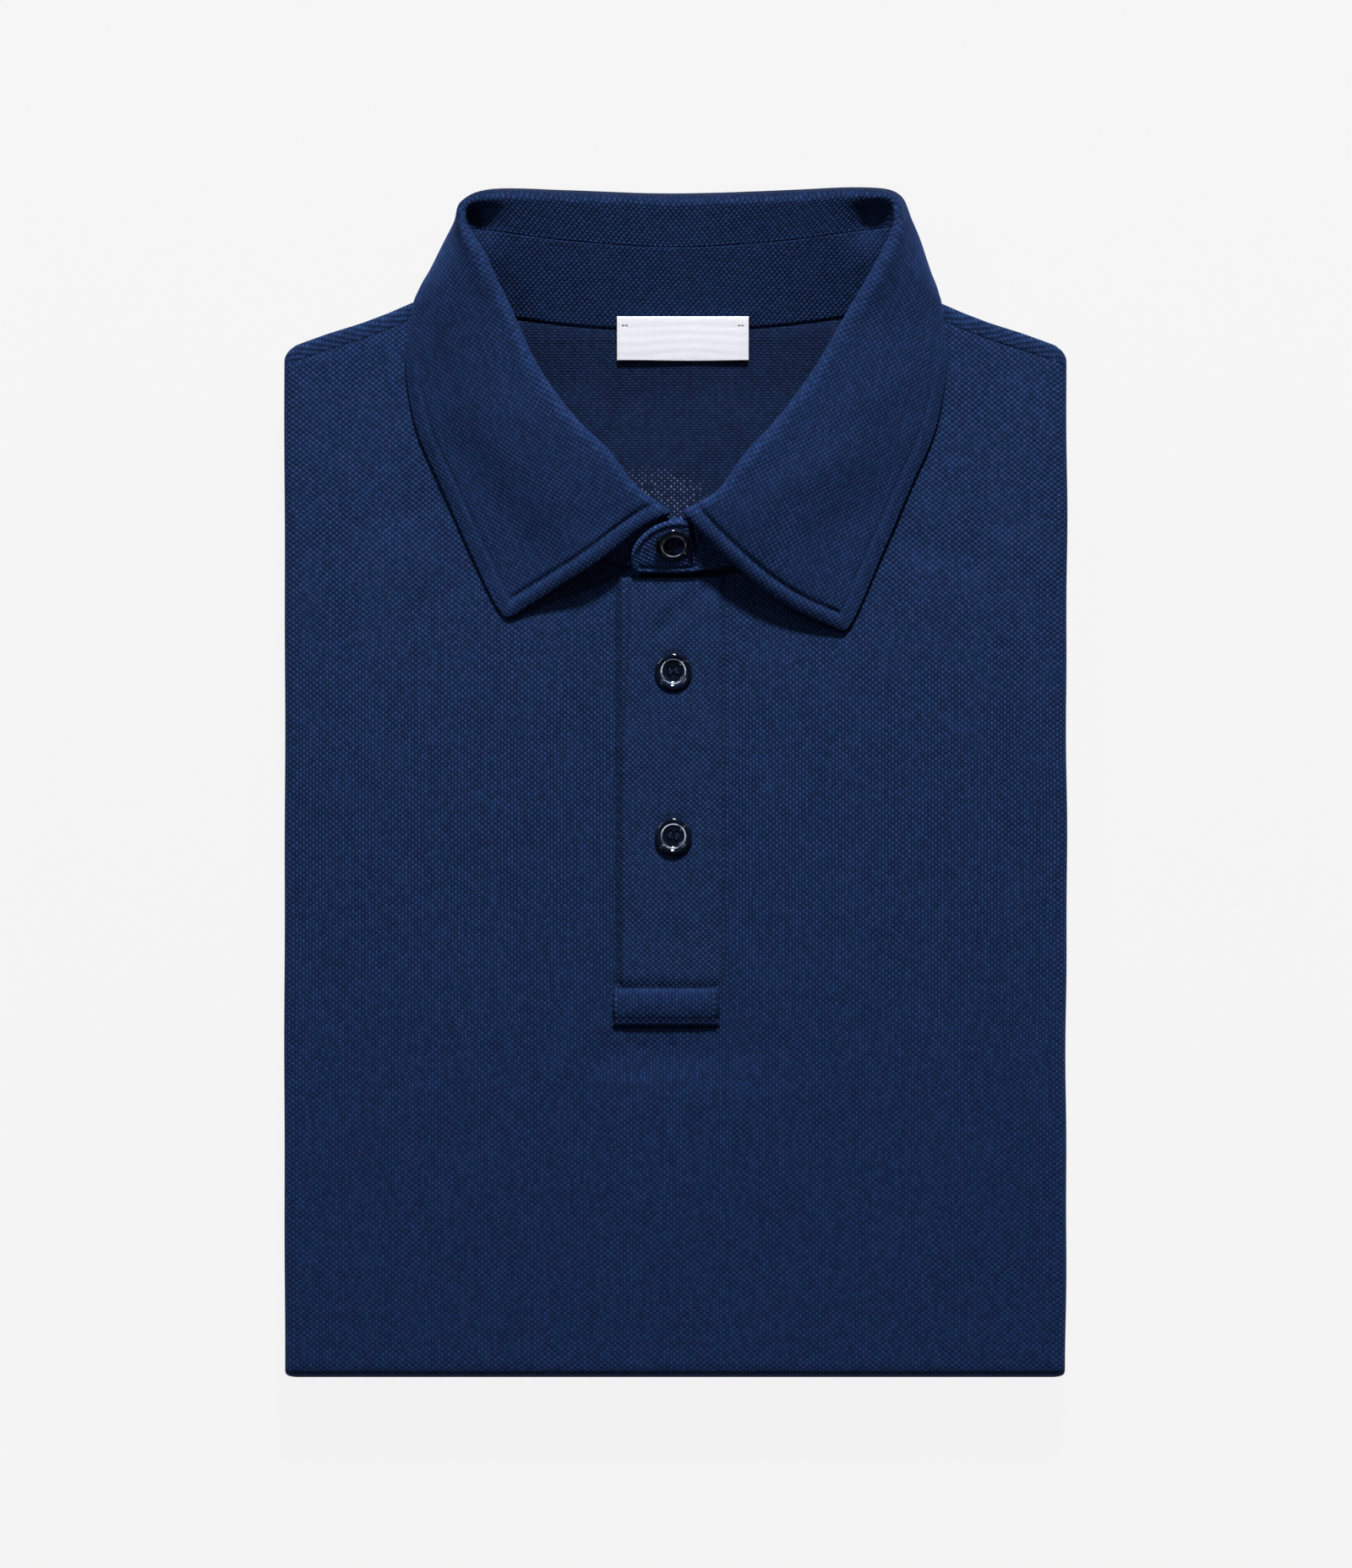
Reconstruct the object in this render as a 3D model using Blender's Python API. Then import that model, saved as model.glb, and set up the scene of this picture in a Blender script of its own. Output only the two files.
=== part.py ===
"""A men's polo shirt, folded and lying face up, built as its cut and sewn pieces.

Frame: +Z up, the surface that it lies on at Z = 0, +Y towards the collar, and +X to the right of
the placket as it is seen from above.  The origin lies under the middle of the folded shirt.
Sizes below are in millimetres, and the meshes are made in metres.
"""
import math
from collections import namedtuple

import bmesh
import bpy
import numpy as np
from mathutils import Matrix, Vector

MM = 0.001

# Cloth
CLOTH = 1.5                 # body cloth
COLLAR_CLOTH = 2.2          # two layers and their interfacing
BAND_CLOTH = 1.7            # placket band, folded double
LABEL_CLOTH = 1.0
GAP = 0.3                   # between neighbouring pieces
SEAM_GAP = 0.8              # between the stand and the fall, straight across their seam
AIR = 0.8                   # loft between the front and the back, for the hollows in the front

# The folded stack: two halves, one over the other, joined by the bottom fold
HALF_WIDTH = 132.6          # middle of the placket to the side fold
BOTTOM_Y = -201.0           # bottom fold
HEM_Y = 148.0               # the hem, underneath
STACK = 18.0                # the surface below to the top of the front
HALF_STACK = 8.6            # thickness of one half at its side fold
RETURN = 20.0               # how far the front reaches behind each side fold
SHOULDER_SEAM = 2.5         # the seam lies this far in front of the shoulder line
NECK_MARGIN_Y = 60.0        # below this line the rows of the front run straight across
RETURN_SLOPE = 0.35         # how fast the upper edge of that return falls towards its end

# Shoulder line: distance from the middle, and its height up the shirt
SHOULDER_X = (80.0, 89.0, 97.0, 106.0, 117.0, 126.0, 130.0)
SHOULDER_Y = (166.2, 162.9, 159.4, 156.0, 152.6, 149.1, 147.0)
CORNER_Y = 147.0            # where the shoulder line meets the side fold
CORNER_DROP = 14.0          # how far the fold's inner turn drops below that corner

# Neckline of the front, 2 mm inside the foot of the collar stand
NECKLINE_X = (0.0, 12.0, 20.5, 35.3, 51.5, 65.6, 75.2, 78.0, 79.0)
NECKLINE_Y = (73.8, 74.4, 76.8, 84.6, 98.6, 117.0, 137.7, 148.6, 156.5)
BACK_NECK_X = (0.0, 32.0, 57.5, 67.0, 76.0)
BACK_NECK_Y = (155.2, 156.8, 160.2, 162.9, 165.7)

# Where the rows and columns of the front and of the back lie
FRONT_COLUMNS_X = (0.0, 12.0, 24.0, 35.3, 51.5, 65.6, 75.2, 78.0, 79.0, 80.2, 97.0, 117.0)
FRONT_NECK_SHARES = (1.0, 0.75, 0.5, 0.25)
FRONT_ROWS_Y = (NECK_MARGIN_Y, 20.0, -25.0, -66.0, -83.0, -87.0, -91.0, -95.0, -103.0, -145.0)
UNDER_ROWS_Y = (-150.0, -75.0, 0.0, 75.0, HEM_Y)
BACK_COLUMNS_X = (0.0, 32.0, 57.5, 67.0, 73.0, 76.0, 78.0, 80.0, 97.0, 117.0)
BACK_ROWS_Y = (-186.0, -60.0, 60.0)
SIDE_TURN_STEPS = 6
BOTTOM_TURN_STEPS = 8
SHOULDER_TURN_STEPS = 6

# Soft hollow in the front, just under the placket's box
HOLLOW_X, HOLLOW_Y = -4.0, -91.0
HOLLOW_REACH_X, HOLLOW_REACH_Y = 24.0, 8.0
HOLLOW_DEPTH = 1.1

# Hidden layers in the lower and the upper half, from below.  share: height within the half.
# reach: how far the layer runs past the centre of the side fold.  drop: how far its upper edge
# lies below the hem or the shoulder line.
LayerEdge = namedtuple("LayerEdge", "share reach drop")
LOWER_LAYERS = (LayerEdge(0.0, -1.0, 4.0), LayerEdge(0.12, 1.75, 2.6), LayerEdge(0.34, 2.25, 2.4),
                LayerEdge(0.5, 1.75, 4.2), LayerEdge(0.66, 2.25, 3.4), LayerEdge(0.88, 1.75, 3.8),
                LayerEdge(1.0, -1.0, 5.4))
UPPER_LAYERS = (LayerEdge(0.0, -2.0, 8.0), LayerEdge(0.25, -0.6, 6.6), LayerEdge(0.5, -1.2, 8.0),
                LayerEdge(0.75, -0.6, 4.4), LayerEdge(1.0, -1.6, 5.6))
WAIST_REACH = -23.0         # between the halves, inside the front's returns
WAIST_DROPS = (14.0, 15.0)
LAYER_CORNER = 9.0          # radius of the corners at the bottom fold
LAYER_BOTTOM_SHARES = (-1.0, -0.6, -0.2, 0.2, 0.6, 1.0)
LAYER_SIDE_Y = (-120.0, -40.0, 40.0)
LAYER_TOP_CORNER = ((0.0, 5.0), (1.2, 1.6), (4.5, 0.0))    # in from the side, below the upper edge
LAYER_COLUMN_SHARES = (0.82, 0.69, 0.62, 0.51, 0.23, 0.0)  # of the half width, along the upper edge
LAYER_NECK_Y = 152.0        # upper edge behind the neck
LAYER_NECK_X = (66.0, 82.0)  # where that edge rises to the shoulder line

# Collar: a row for each section, from the front edge round to the middle of the back.
# foot: neck seam.  stand: height of the stand along its slope.  roll: centre of the roll.
# out: which way the section points, in degrees from +X.  mid and edge: points of the leaf.
Section = namedtuple("Section", "foot stand roll out mid edge")
COLLAR = (
    Section((12.5, 72.4, 19.6), 19.4, (10.6, 90.6, 29.0), -60, (30.0, 73.6, 26.8), (57.1, 56.0, 21.4)),
    Section((21.5, 75.0, 19.6), 22.8, (16.8, 97.1, 29.7), -48, (36.5, 82.5, 27.6), (61.6, 61.6, 20.7)),
    Section((36.5, 83.0, 19.5), 26.8, (27.0, 108.4, 30.2), -40, (47.0, 96.5, 28.2), (69.3, 77.8, 20.0)),
    Section((53.0, 97.3, 19.5), 28.6, (39.3, 122.9, 30.6), -34, (59.0, 112.5, 28.4), (79.6, 101.0, 19.7)),
    Section((67.3, 116.0, 19.5), 28.6, (51.0, 139.7, 31.0), -28, (69.5, 130.5, 28.4), (87.6, 119.5, 19.6)),
    Section((77.0, 137.0, 19.5), 28.0, (60.4, 158.6, 32.0), -24, (76.5, 151.3, 28.6), (91.2, 139.0, 19.6)),
    Section((80.0, 148.0, 19.5), 26.6, (65.1, 168.3, 33.3), -20, (79.5, 163.0, 29.0), (90.6, 153.5, 19.6)),
    Section((81.0, 156.5, 19.4), 26.0, (68.7, 176.7, 34.5), -14, (80.8, 172.3, 28.6), (89.2, 163.8, 19.5)),
    Section((79.5, 162.8, 19.3), 26.4, (71.4, 184.1, 35.0), -6, (80.3, 181.5, 25.5), (85.5, 171.0, 10.5)),
    Section((74.5, 162.3, 18.4), 28.9, (72.6, 190.3, 34.5), 12, (77.6, 189.5, 23.0), (80.0, 177.5, 5.5)),
    Section((67.0, 160.8, 17.2), 29.7, (70.2, 195.2, 33.0), 45, (73.2, 196.3, 20.5), (71.0, 181.5, 4.0)),
    Section((57.5, 158.2, 17.0), 30.6, (61.0, 197.2, 31.0), 78, (61.5, 198.2, 18.5), (57.5, 178.0, 3.8)),
    Section((32.0, 154.8, 16.8), 30.1, (34.0, 196.0, 29.2), 90, (34.0, 197.0, 17.5), (32.0, 174.0, 3.8)),
    Section((0.0, 153.2, 16.8), 29.6, (0.0, 194.9, 28.2), 90, (0.0, 196.0, 17.0), (0.0, 172.0, 3.8)),
)
ROLL_RADIUS = 2.4           # to the middle of the collar's wall
ROLL_STEPS = 5
STAND_ROWS = 5
COLLAR_STEPS = 2            # smoothed sections between two rows of the table

# The right side closes over the left: its sections near the front are lifted and drawn down
OVERLAP_LIFT = (2.55, 2.0, 1.0, 0.3)
RIGHT_LEAF_DROP = (5.1, 3.0, 1.2, 0.3)

# Ends of the stand at the front, on one slope: distance across, and where foot and top lie
EndRow = namedtuple("EndRow", "x foot_y top_y")
UNDER_END = (EndRow(8.5, 72.2, 89.6), EndRow(3.0, 72.0, 91.0), EndRow(-4.0, 72.0, 91.0))
OVER_END = (EndRow(6.0, 72.3, 88.6), EndRow(1.0, 72.2, 88.4), EndRow(-4.0, 72.3, 87.3),
            EndRow(-8.0, 72.4, 85.4), EndRow(-11.4, 72.6, 82.5), EndRow(-14.0, 73.2, 79.2),
            EndRow(-15.1, 74.4, 77.0))

# Placket
PLACKET_LEFT, PLACKET_RIGHT = -18.6, 16.6
PLACKET_TOP, PLACKET_END = 69.4, -68.6
PLACKET_EDGE_CLOTH = 1.0    # thickness at its sewn-down right edge
BOX_LEFT, BOX_RIGHT = -20.6, 13.6
BOX_TOP, BOX_END = -69.1, -82.2
BOX_CLOTH = 2.2
STRIP_ROW = 12.0            # the rows of a strip lie no further apart than this

# Buttons
BUTTON_X = -0.9
BUTTON_UPPER_Y, BUTTON_LOWER_Y = 38.0, -17.7
COLLAR_BUTTON_Y = 80.6
BUTTON_HEIGHT = 2.6
BUTTON_SEGMENTS = 20
HOLE_RADIUS, HOLE_OFFSET = 0.75, 1.5
HOLE_COUNT, HOLE_SEGMENTS = 4, 8
# Turned profile of a button: radius, height
BUTTON_PROFILE = ((4.4, 0.0), (5.9, 0.7), (6.3, 1.5), (6.0, 2.3), (5.2, 2.6), (4.4, 2.3), (3.9, 1.6))

# Neck label: bare, sewn across the back neck seam
LABEL_LEFT, LABEL_RIGHT = -20.0, 24.6
LABEL_Y = (143.1, 147.5, 151.4, 154.5, 158.0)
LABEL_Z = (16.3, 16.8, 18.4, 19.5, 20.6)

# Colours, linear
NAVY = (0.011, 0.024, 0.075)
NAVY_INSIDE = (0.009, 0.019, 0.055)
NAVY_GLOSS = (0.006, 0.011, 0.028)
WHITE = (0.80, 0.81, 0.84)


def make_material(name, colour, roughness):
    """A plain finish with the piece's own colour."""
    material = bpy.data.materials.new(name)
    material.use_nodes = True
    shader = material.node_tree.nodes["Principled BSDF"]
    shader.inputs["Base Color"].default_value = (*colour, 1.0)
    shader.inputs["Roughness"].default_value = roughness
    shader.inputs["Metallic"].default_value = 0.0
    return material


def mesh_object(name, vertices, faces, material):
    """One closed body from points in millimetres."""
    mesh = bpy.data.meshes.new(name)
    mesh.from_pydata([tuple(float(value) * MM for value in point) for point in vertices], [], faces)
    form = bmesh.new()
    form.from_mesh(mesh)
    bmesh.ops.recalc_face_normals(form, faces=form.faces)
    form.to_mesh(mesh)
    form.free()
    mesh.materials.append(material)
    mesh.shade_smooth()
    mesh.set_sharp_from_angle(angle=math.radians(40.0))
    piece = bpy.data.objects.new(name, mesh)
    bpy.context.collection.objects.link(piece)
    return piece


def unit(vectors):
    """Vectors of length one."""
    return vectors / np.maximum(np.linalg.norm(vectors, axis=-1, keepdims=True), 1e-9)


def grid_normals(middle):
    """Normals of a sheet given as rows of points."""
    along = np.gradient(middle, axis=0)
    across = np.gradient(middle, axis=1)
    return unit(np.cross(across, along))


def wall(name, middle, thickness, material, normals=None):
    """A closed wall round a sheet: its points moved out by half the thickness on each side."""
    rows, columns = middle.shape[:2]
    half = np.broadcast_to(np.asarray(thickness, dtype=float) / 2.0, (rows, columns))[..., None]
    offset = (grid_normals(middle) if normals is None else normals) * half
    vertices = np.concatenate([(middle + offset).reshape(-1, 3), (middle - offset).reshape(-1, 3)])
    other_side = rows * columns

    def at(row, column):
        return row * columns + column

    faces = []
    for row in range(rows - 1):
        for column in range(columns - 1):
            quad = (at(row, column), at(row, column + 1), at(row + 1, column + 1), at(row + 1, column))
            faces.append(quad)
            faces.append(tuple(corner + other_side for corner in reversed(quad)))
    border = [at(0, column) for column in range(columns)]
    border += [at(row, columns - 1) for row in range(1, rows)]
    border += [at(rows - 1, column) for column in range(columns - 2, -1, -1)]
    border += [at(row, 0) for row in range(rows - 2, 0, -1)]
    for start, end in zip(border, border[1:] + border[:1]):
        faces.append((start, start + other_side, end + other_side, end))
    return mesh_object(name, vertices, faces, material)


def smooth_rows(rows, steps):
    """Catmull-Rom curves through rows of points, with the given steps between two rows."""
    rows = np.asarray(rows, dtype=float)
    padded = np.concatenate([2 * rows[:1] - rows[1:2], rows, 2 * rows[-1:] - rows[-2:-1]])
    result = []
    for index in range(len(rows) - 1):
        before, start, end, after = padded[index:index + 4]
        for step in range(steps):
            t = step / steps
            result.append(0.5 * (2 * start + (end - before) * t
                                 + (2 * before - 5 * start + 4 * end - after) * t ** 2
                                 + (3 * start - before - 3 * end + after) * t ** 3))
    result.append(rows[-1])
    return np.array(result)


def front_top(x, y):
    """Height of the front's upper face."""
    reach = ((x - HOLLOW_X) / HOLLOW_REACH_X) ** 2 + ((y - HOLLOW_Y) / HOLLOW_REACH_Y) ** 2
    return STACK - HOLLOW_DEPTH * math.exp(-reach)


def shoulder_line(x):
    """Where the shoulder's fold lies."""
    return float(np.interp(abs(x), SHOULDER_X, SHOULDER_Y))


def front_upper_edge(x):
    """Upper edge of the front: its neckline, then its shoulder seam."""
    seam = shoulder_line(x) - SHOULDER_SEAM - GAP / 2
    if abs(x) >= SHOULDER_X[0]:
        return seam
    return float(np.interp(abs(x), NECKLINE_X + (SHOULDER_X[0],), NECKLINE_Y + (seam,)))


def front_columns():
    """Columns of the front, right half: distance across, depth below the face, upper edge."""
    turn = (HALF_STACK - CLOTH) / 2
    centre_x = HALF_WIDTH - CLOTH / 2 - turn
    columns = [(x, 0.0, front_upper_edge(x)) for x in FRONT_COLUMNS_X + (centre_x,)]
    for step in range(1, SIDE_TURN_STEPS + 1):
        angle = math.pi * step / SIDE_TURN_STEPS
        depth = turn * (1 - math.cos(angle))
        edge = CORNER_Y - CORNER_DROP * depth / (2 * turn)
        columns.append((centre_x + turn * math.sin(angle), depth, edge))
    columns.append((centre_x - RETURN, 2 * turn, CORNER_Y - CORNER_DROP - RETURN * RETURN_SLOPE))
    return columns


def front_rows():
    """Rows of the front: y, z, and the way into the stack, from the neck round to the hem."""
    fold_radius = (STACK - CLOTH) / 2
    fold_y = BOTTOM_Y + CLOTH / 2 + fold_radius
    fold_z = STACK / 2
    rows = [(y, STACK - CLOTH / 2, 0.0, -1.0) for y in FRONT_ROWS_Y]
    for step in range(BOTTOM_TURN_STEPS + 1):
        angle = math.pi / 2 + math.pi * step / BOTTOM_TURN_STEPS
        rows.append((fold_y + fold_radius * math.cos(angle), fold_z + fold_radius * math.sin(angle),
                     -math.cos(angle), -math.sin(angle)))
    rows += [(y, CLOTH / 2, 0.0, 1.0) for y in UNDER_ROWS_Y]
    return rows


def make_front(material):
    """Front: over the top, round the bottom fold, back underneath, and round both side folds."""
    half = front_columns()
    columns = [(-x, depth, edge) for x, depth, edge in reversed(half[1:])] + half
    grid = []
    for share in FRONT_NECK_SHARES:
        grid.append([(x, NECK_MARGIN_Y + (edge - NECK_MARGIN_Y) * share, STACK - CLOTH / 2 - depth)
                     for x, depth, edge in columns])
    for y, z, inward_y, inward_z in front_rows():
        row = []
        for x, depth, _ in columns:
            on_top = z > STACK - CLOTH and depth == 0.0
            sag = front_top(x, y) - STACK if on_top else 0.0
            row.append((x, y + depth * inward_y, z + sag + depth * inward_z))
        grid.append(row)
    return wall("front_panel", np.array(grid), CLOTH, material)


def make_back(material):
    """Back: flat under the front, turned over the shoulders to their seams, cut out at the neck."""
    level = STACK - 1.5 * CLOTH - GAP - AIR
    turn = (CLOTH + GAP + AIR) / 2
    lap = SHOULDER_SEAM - CLOTH / 2 - turn - GAP / 2
    end_x = HALF_WIDTH - CLOTH - (HALF_STACK - CLOTH) / 2
    half = list(BACK_COLUMNS_X) + [end_x]
    columns = [-x for x in reversed(half[1:])] + half
    grid = []
    for y in BACK_ROWS_Y:
        grid.append([(x, y, level) for x in columns])
    curls = []
    for x in columns:
        curled = min(max((abs(x) - BACK_NECK_X[-1]) / (SHOULDER_X[0] - BACK_NECK_X[-1]), 0.0), 1.0)
        if curled > 0:
            base = shoulder_line(max(abs(x), SHOULDER_X[0])) - CLOTH / 2 - turn
        else:
            base = float(np.interp(abs(x), BACK_NECK_X, BACK_NECK_Y)) - math.pi * turn - lap
        curls.append((x, base, curled))
    for step in range(SHOULDER_TURN_STEPS + 2):
        turned = min(step, SHOULDER_TURN_STEPS) / SHOULDER_TURN_STEPS
        row = []
        for x, base, curled in curls:
            bend = math.pi * curled * turned
            if curled > 0:
                radius = turn / curled
                y = base + radius * math.sin(bend)
                z = level + radius * (1 - math.cos(bend))
            else:
                y, z = base + math.pi * turn * turned, level
            if step > SHOULDER_TURN_STEPS:
                y += lap * math.cos(bend)
                z += lap * math.sin(bend)
            row.append((x, y, z))
        grid.append(row)
    return wall("back_panel", np.array(grid), CLOTH, material)


# One level of the hidden layers: height, half width, drop of the upper edge, and what it follows
Level = namedtuple("Level", "z half_width drop follows")


def layer_levels():
    """Levels of the hidden layers: the lower half, a narrow waist, and the upper half."""
    turn = (HALF_STACK - CLOTH) / 2
    centre_x = HALF_WIDTH - CLOTH / 2 - turn
    halves = (
        ("hem", LOWER_LAYERS, CLOTH + GAP, HALF_STACK - CLOTH - GAP),
        ("shoulder", UPPER_LAYERS, STACK - HALF_STACK + CLOTH + GAP, STACK - 2 * CLOTH - 2 * GAP - AIR),
    )
    levels = []
    for follows, edges, low, high in halves:
        for edge in edges:
            z = low + (high - low) * edge.share
            levels.append(Level(z, centre_x + edge.reach, edge.drop, follows))
    waist = [Level(level.z, centre_x + WAIST_REACH, drop, level.follows)
             for level, drop in zip((levels[len(LOWER_LAYERS) - 1], levels[len(LOWER_LAYERS)]), WAIST_DROPS)]
    return levels[:len(LOWER_LAYERS)] + waist + levels[len(LOWER_LAYERS):]


def layer_upper_edge(level, x):
    """Upper edge of the hidden layers at one level."""
    if level.follows == "hem":
        return HEM_Y - level.drop
    rise = float(np.interp(abs(x), LAYER_NECK_X, (0.0, 1.0)))
    return LAYER_NECK_Y + (shoulder_line(x) - LAYER_NECK_Y) * rise - level.drop


def layer_ring(level):
    """Outline of the hidden layers at one level, anticlockwise from above."""
    fold_radius = STACK / 2 - CLOTH - GAP
    fold_y = BOTTOM_Y + STACK / 2
    bottom = fold_y - math.sqrt(max(fold_radius ** 2 - (level.z - STACK / 2) ** 2, 0.0))
    half = level.half_width
    corner_x = half - LAYER_CORNER
    right = []
    for step in (1, 2, 3):
        angle = math.pi / 2 * step / 3
        right.append((corner_x + LAYER_CORNER * math.sin(angle),
                      bottom + LAYER_CORNER * (1 - math.cos(angle))))
    right += [(half, y) for y in LAYER_SIDE_Y]
    right += [(half - inset, layer_upper_edge(level, half - inset) - below)
              for inset, below in LAYER_TOP_CORNER]
    right += [(half * share, layer_upper_edge(level, half * share)) for share in LAYER_COLUMN_SHARES]
    left = [(-x, y) for x, y in reversed(right[:-1])]
    below = [(share * corner_x, bottom) for share in LAYER_BOTTOM_SHARES]
    return [(x, y, level.z) for x, y in below + right + left]


def make_layers(material):
    """Sides, sleeves and the back's lower half, folded out of sight, as one layered solid."""
    levels = layer_levels()
    rings = [layer_ring(level) for level in levels]
    count = len(rings[0])
    vertices = [point for ring in rings for point in ring]
    faces = [tuple(reversed(range(count)))]
    for index in range(len(rings) - 1):
        start, above = index * count, (index + 1) * count
        for corner in range(count):
            following = (corner + 1) % count
            faces.append((start + corner, start + following, above + following, above + corner))
    faces.append(tuple(range((len(rings) - 1) * count, len(rings) * count)))
    return mesh_object("folded_layers", vertices, faces, material)


def front_slope():
    """Slope of the stand at the front: its angle, and the way straight out of it."""
    foot, roll = COLLAR[0].foot, COLLAR[0].roll
    run, rise = roll[1] - foot[1], roll[2] - foot[2]
    angle = math.atan2(rise, run) + math.asin(ROLL_RADIUS / math.hypot(run, rise))
    return angle, np.array([0.0, -math.sin(angle), math.cos(angle)])


def on_front_slope(x, y, lift):
    """A point on the stand's slope at the front, lifted straight out of it."""
    angle, normal = front_slope()
    foot = COLLAR[0].foot
    return np.array([x, y, foot[2] + (y - foot[1]) * math.tan(angle)]) + lift * normal


def placed_section(index, side):
    """One row of the collar table on the left (side -1) or the right (side 1)."""
    row = COLLAR[index]
    flip = np.array([side, 1.0, 1.0])
    foot, roll, mid, edge = (np.array(point) * flip for point in (row.foot, row.roll, row.mid, row.edge))
    out = math.radians(row.out)
    outward = np.array([side * math.cos(out), math.sin(out), 0.0])
    if side > 0 and index < len(OVERLAP_LIFT):
        lift = OVERLAP_LIFT[index] * front_slope()[1]
        foot = foot + lift
        roll = roll + lift
        mid = mid + 0.5 * lift
        drop = np.array([0.0, RIGHT_LEAF_DROP[index], 0.0])
        mid = mid - drop
        edge = edge - drop
    return foot, row.stand, roll, outward, mid, edge


def collar_section(index, side):
    """Points of one collar section: the foot and seam of the stand, and the fall from seam to edge."""
    foot, stand, roll, outward, mid, edge = placed_section(index, side)

    def flat(point):
        return np.array([np.dot(point - roll, outward), point[2] - roll[2]])

    def turned(angle):
        return roll + ROLL_RADIUS * (math.cos(angle) * outward + math.sin(angle) * np.array([0.0, 0.0, 1.0]))

    to_roll = -flat(foot)
    reach = math.hypot(*to_roll)
    rising = math.atan2(to_roll[1], to_roll[0]) + math.asin(ROLL_RADIUS / reach)
    to_mid = flat(mid)
    falling = math.atan2(to_mid[1], to_mid[0]) - math.asin(ROLL_RADIUS / math.hypot(*to_mid))
    first, last = rising + math.pi / 2, falling + math.pi / 2
    touch = turned(first)
    seam = foot + (touch - foot) * stand / np.linalg.norm(touch - foot)
    points = [seam + (touch - seam) * share for share in (0.0, 0.5)]
    points += [turned(first + (last - first) * step / ROLL_STEPS) for step in range(ROLL_STEPS + 1)]
    leaving = points[-1]
    ahead = math.cos(falling) * outward + math.sin(falling) * np.array([0.0, 0.0, 1.0])
    span = np.linalg.norm(mid - leaving)
    knots = np.array([mid - 2 * span * ahead, leaving, mid, edge, 2 * edge - mid])
    for index_knot in (1, 2):
        before, start, end, after = knots[index_knot - 1:index_knot + 3]
        for t in (1 / 3, 2 / 3, 1.0):
            points.append(0.5 * (2 * start + (end - before) * t
                                 + (2 * before - 5 * start + 4 * end - after) * t ** 2
                                 + (3 * start - before - 3 * end + after) * t ** 3))
    return foot, seam, np.array(points)


def collar_sections():
    """All sections, from the left front edge round the back to the right front edge."""
    last = len(COLLAR) - 1
    order = [(index, -1) for index in range(last + 1)] + [(index, 1) for index in range(last - 1, -1, -1)]
    return [collar_section(index, side) for index, side in order]


def make_collar(material):
    """Stand and fall.  The fall goes up from the stand's seam, over the roll, and out to the leaf's
    edge.  The stand is a band round the neck whose right end closes over its left one."""
    sections = collar_sections()
    shares = np.linspace(0.0, 1.0, STAND_ROWS)[:, None]
    feet = np.array([foot for foot, _, _ in sections])
    seams = np.array([seam for _, seam, _ in sections])
    along = unit(np.gradient(seams, axis=0))
    rising = seams - feet
    straight_up = unit(rising - along * np.sum(rising * along, axis=1, keepdims=True))
    tops = seams - SEAM_GAP * straight_up
    stand_rows = [foot + (top - foot) * shares for foot, top in zip(feet, tops)]
    fall_rows = [points for _, _, points in sections]
    stand, fall = smooth_rows(stand_rows, COLLAR_STEPS), smooth_rows(fall_rows, COLLAR_STEPS)
    normals = grid_normals(np.concatenate([stand, fall], axis=1))
    wall("collar_fall", fall, COLLAR_CLOTH, material, normals[:, len(shares):])
    ends = []
    for rows, lift in ((UNDER_END, 0.0), (OVER_END, OVERLAP_LIFT[0])):
        feet = [on_front_slope(row.x, row.foot_y, lift) for row in rows]
        tops = [on_front_slope(row.x, row.top_y, lift) for row in rows]
        ends.append(np.array([foot + (top - foot) * shares for foot, top in zip(feet, tops)]))
    slope_normal = front_slope()[1]
    end_normals = [np.broadcast_to(slope_normal * np.sign(normals[0, 2, 2]), end.shape) for end in ends]
    middle = np.concatenate([ends[0], stand, ends[1]])
    normals = np.concatenate([end_normals[0], normals[:, :len(shares)], end_normals[1]])
    wall("collar_stand", middle, COLLAR_CLOTH, material, normals)


def laid_strip(name, left, right, top, end, thickness, material):
    """A strip on the front, made from the front's points moved out."""
    columns = np.linspace(left, right, len(thickness))
    rows = np.linspace(top, end, max(int(abs(top - end) / STRIP_ROW), 3) + 1)
    thickness = np.array(thickness)
    middle = np.array([[(x, y, front_top(x, y) + GAP + depth / 2) for x, depth in zip(columns, thickness)]
                       for y in rows])
    return wall(name, middle, thickness[None, :], material)


def make_label(material):
    """Neck label: a bare strip over the back neck seam."""
    columns = np.linspace(LABEL_LEFT, LABEL_RIGHT, 5)
    middle = np.array([[(x, y, z) for x in columns] for y, z in zip(LABEL_Y, LABEL_Z)])
    return wall("neck_label", middle, LABEL_CLOTH, material)


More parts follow.
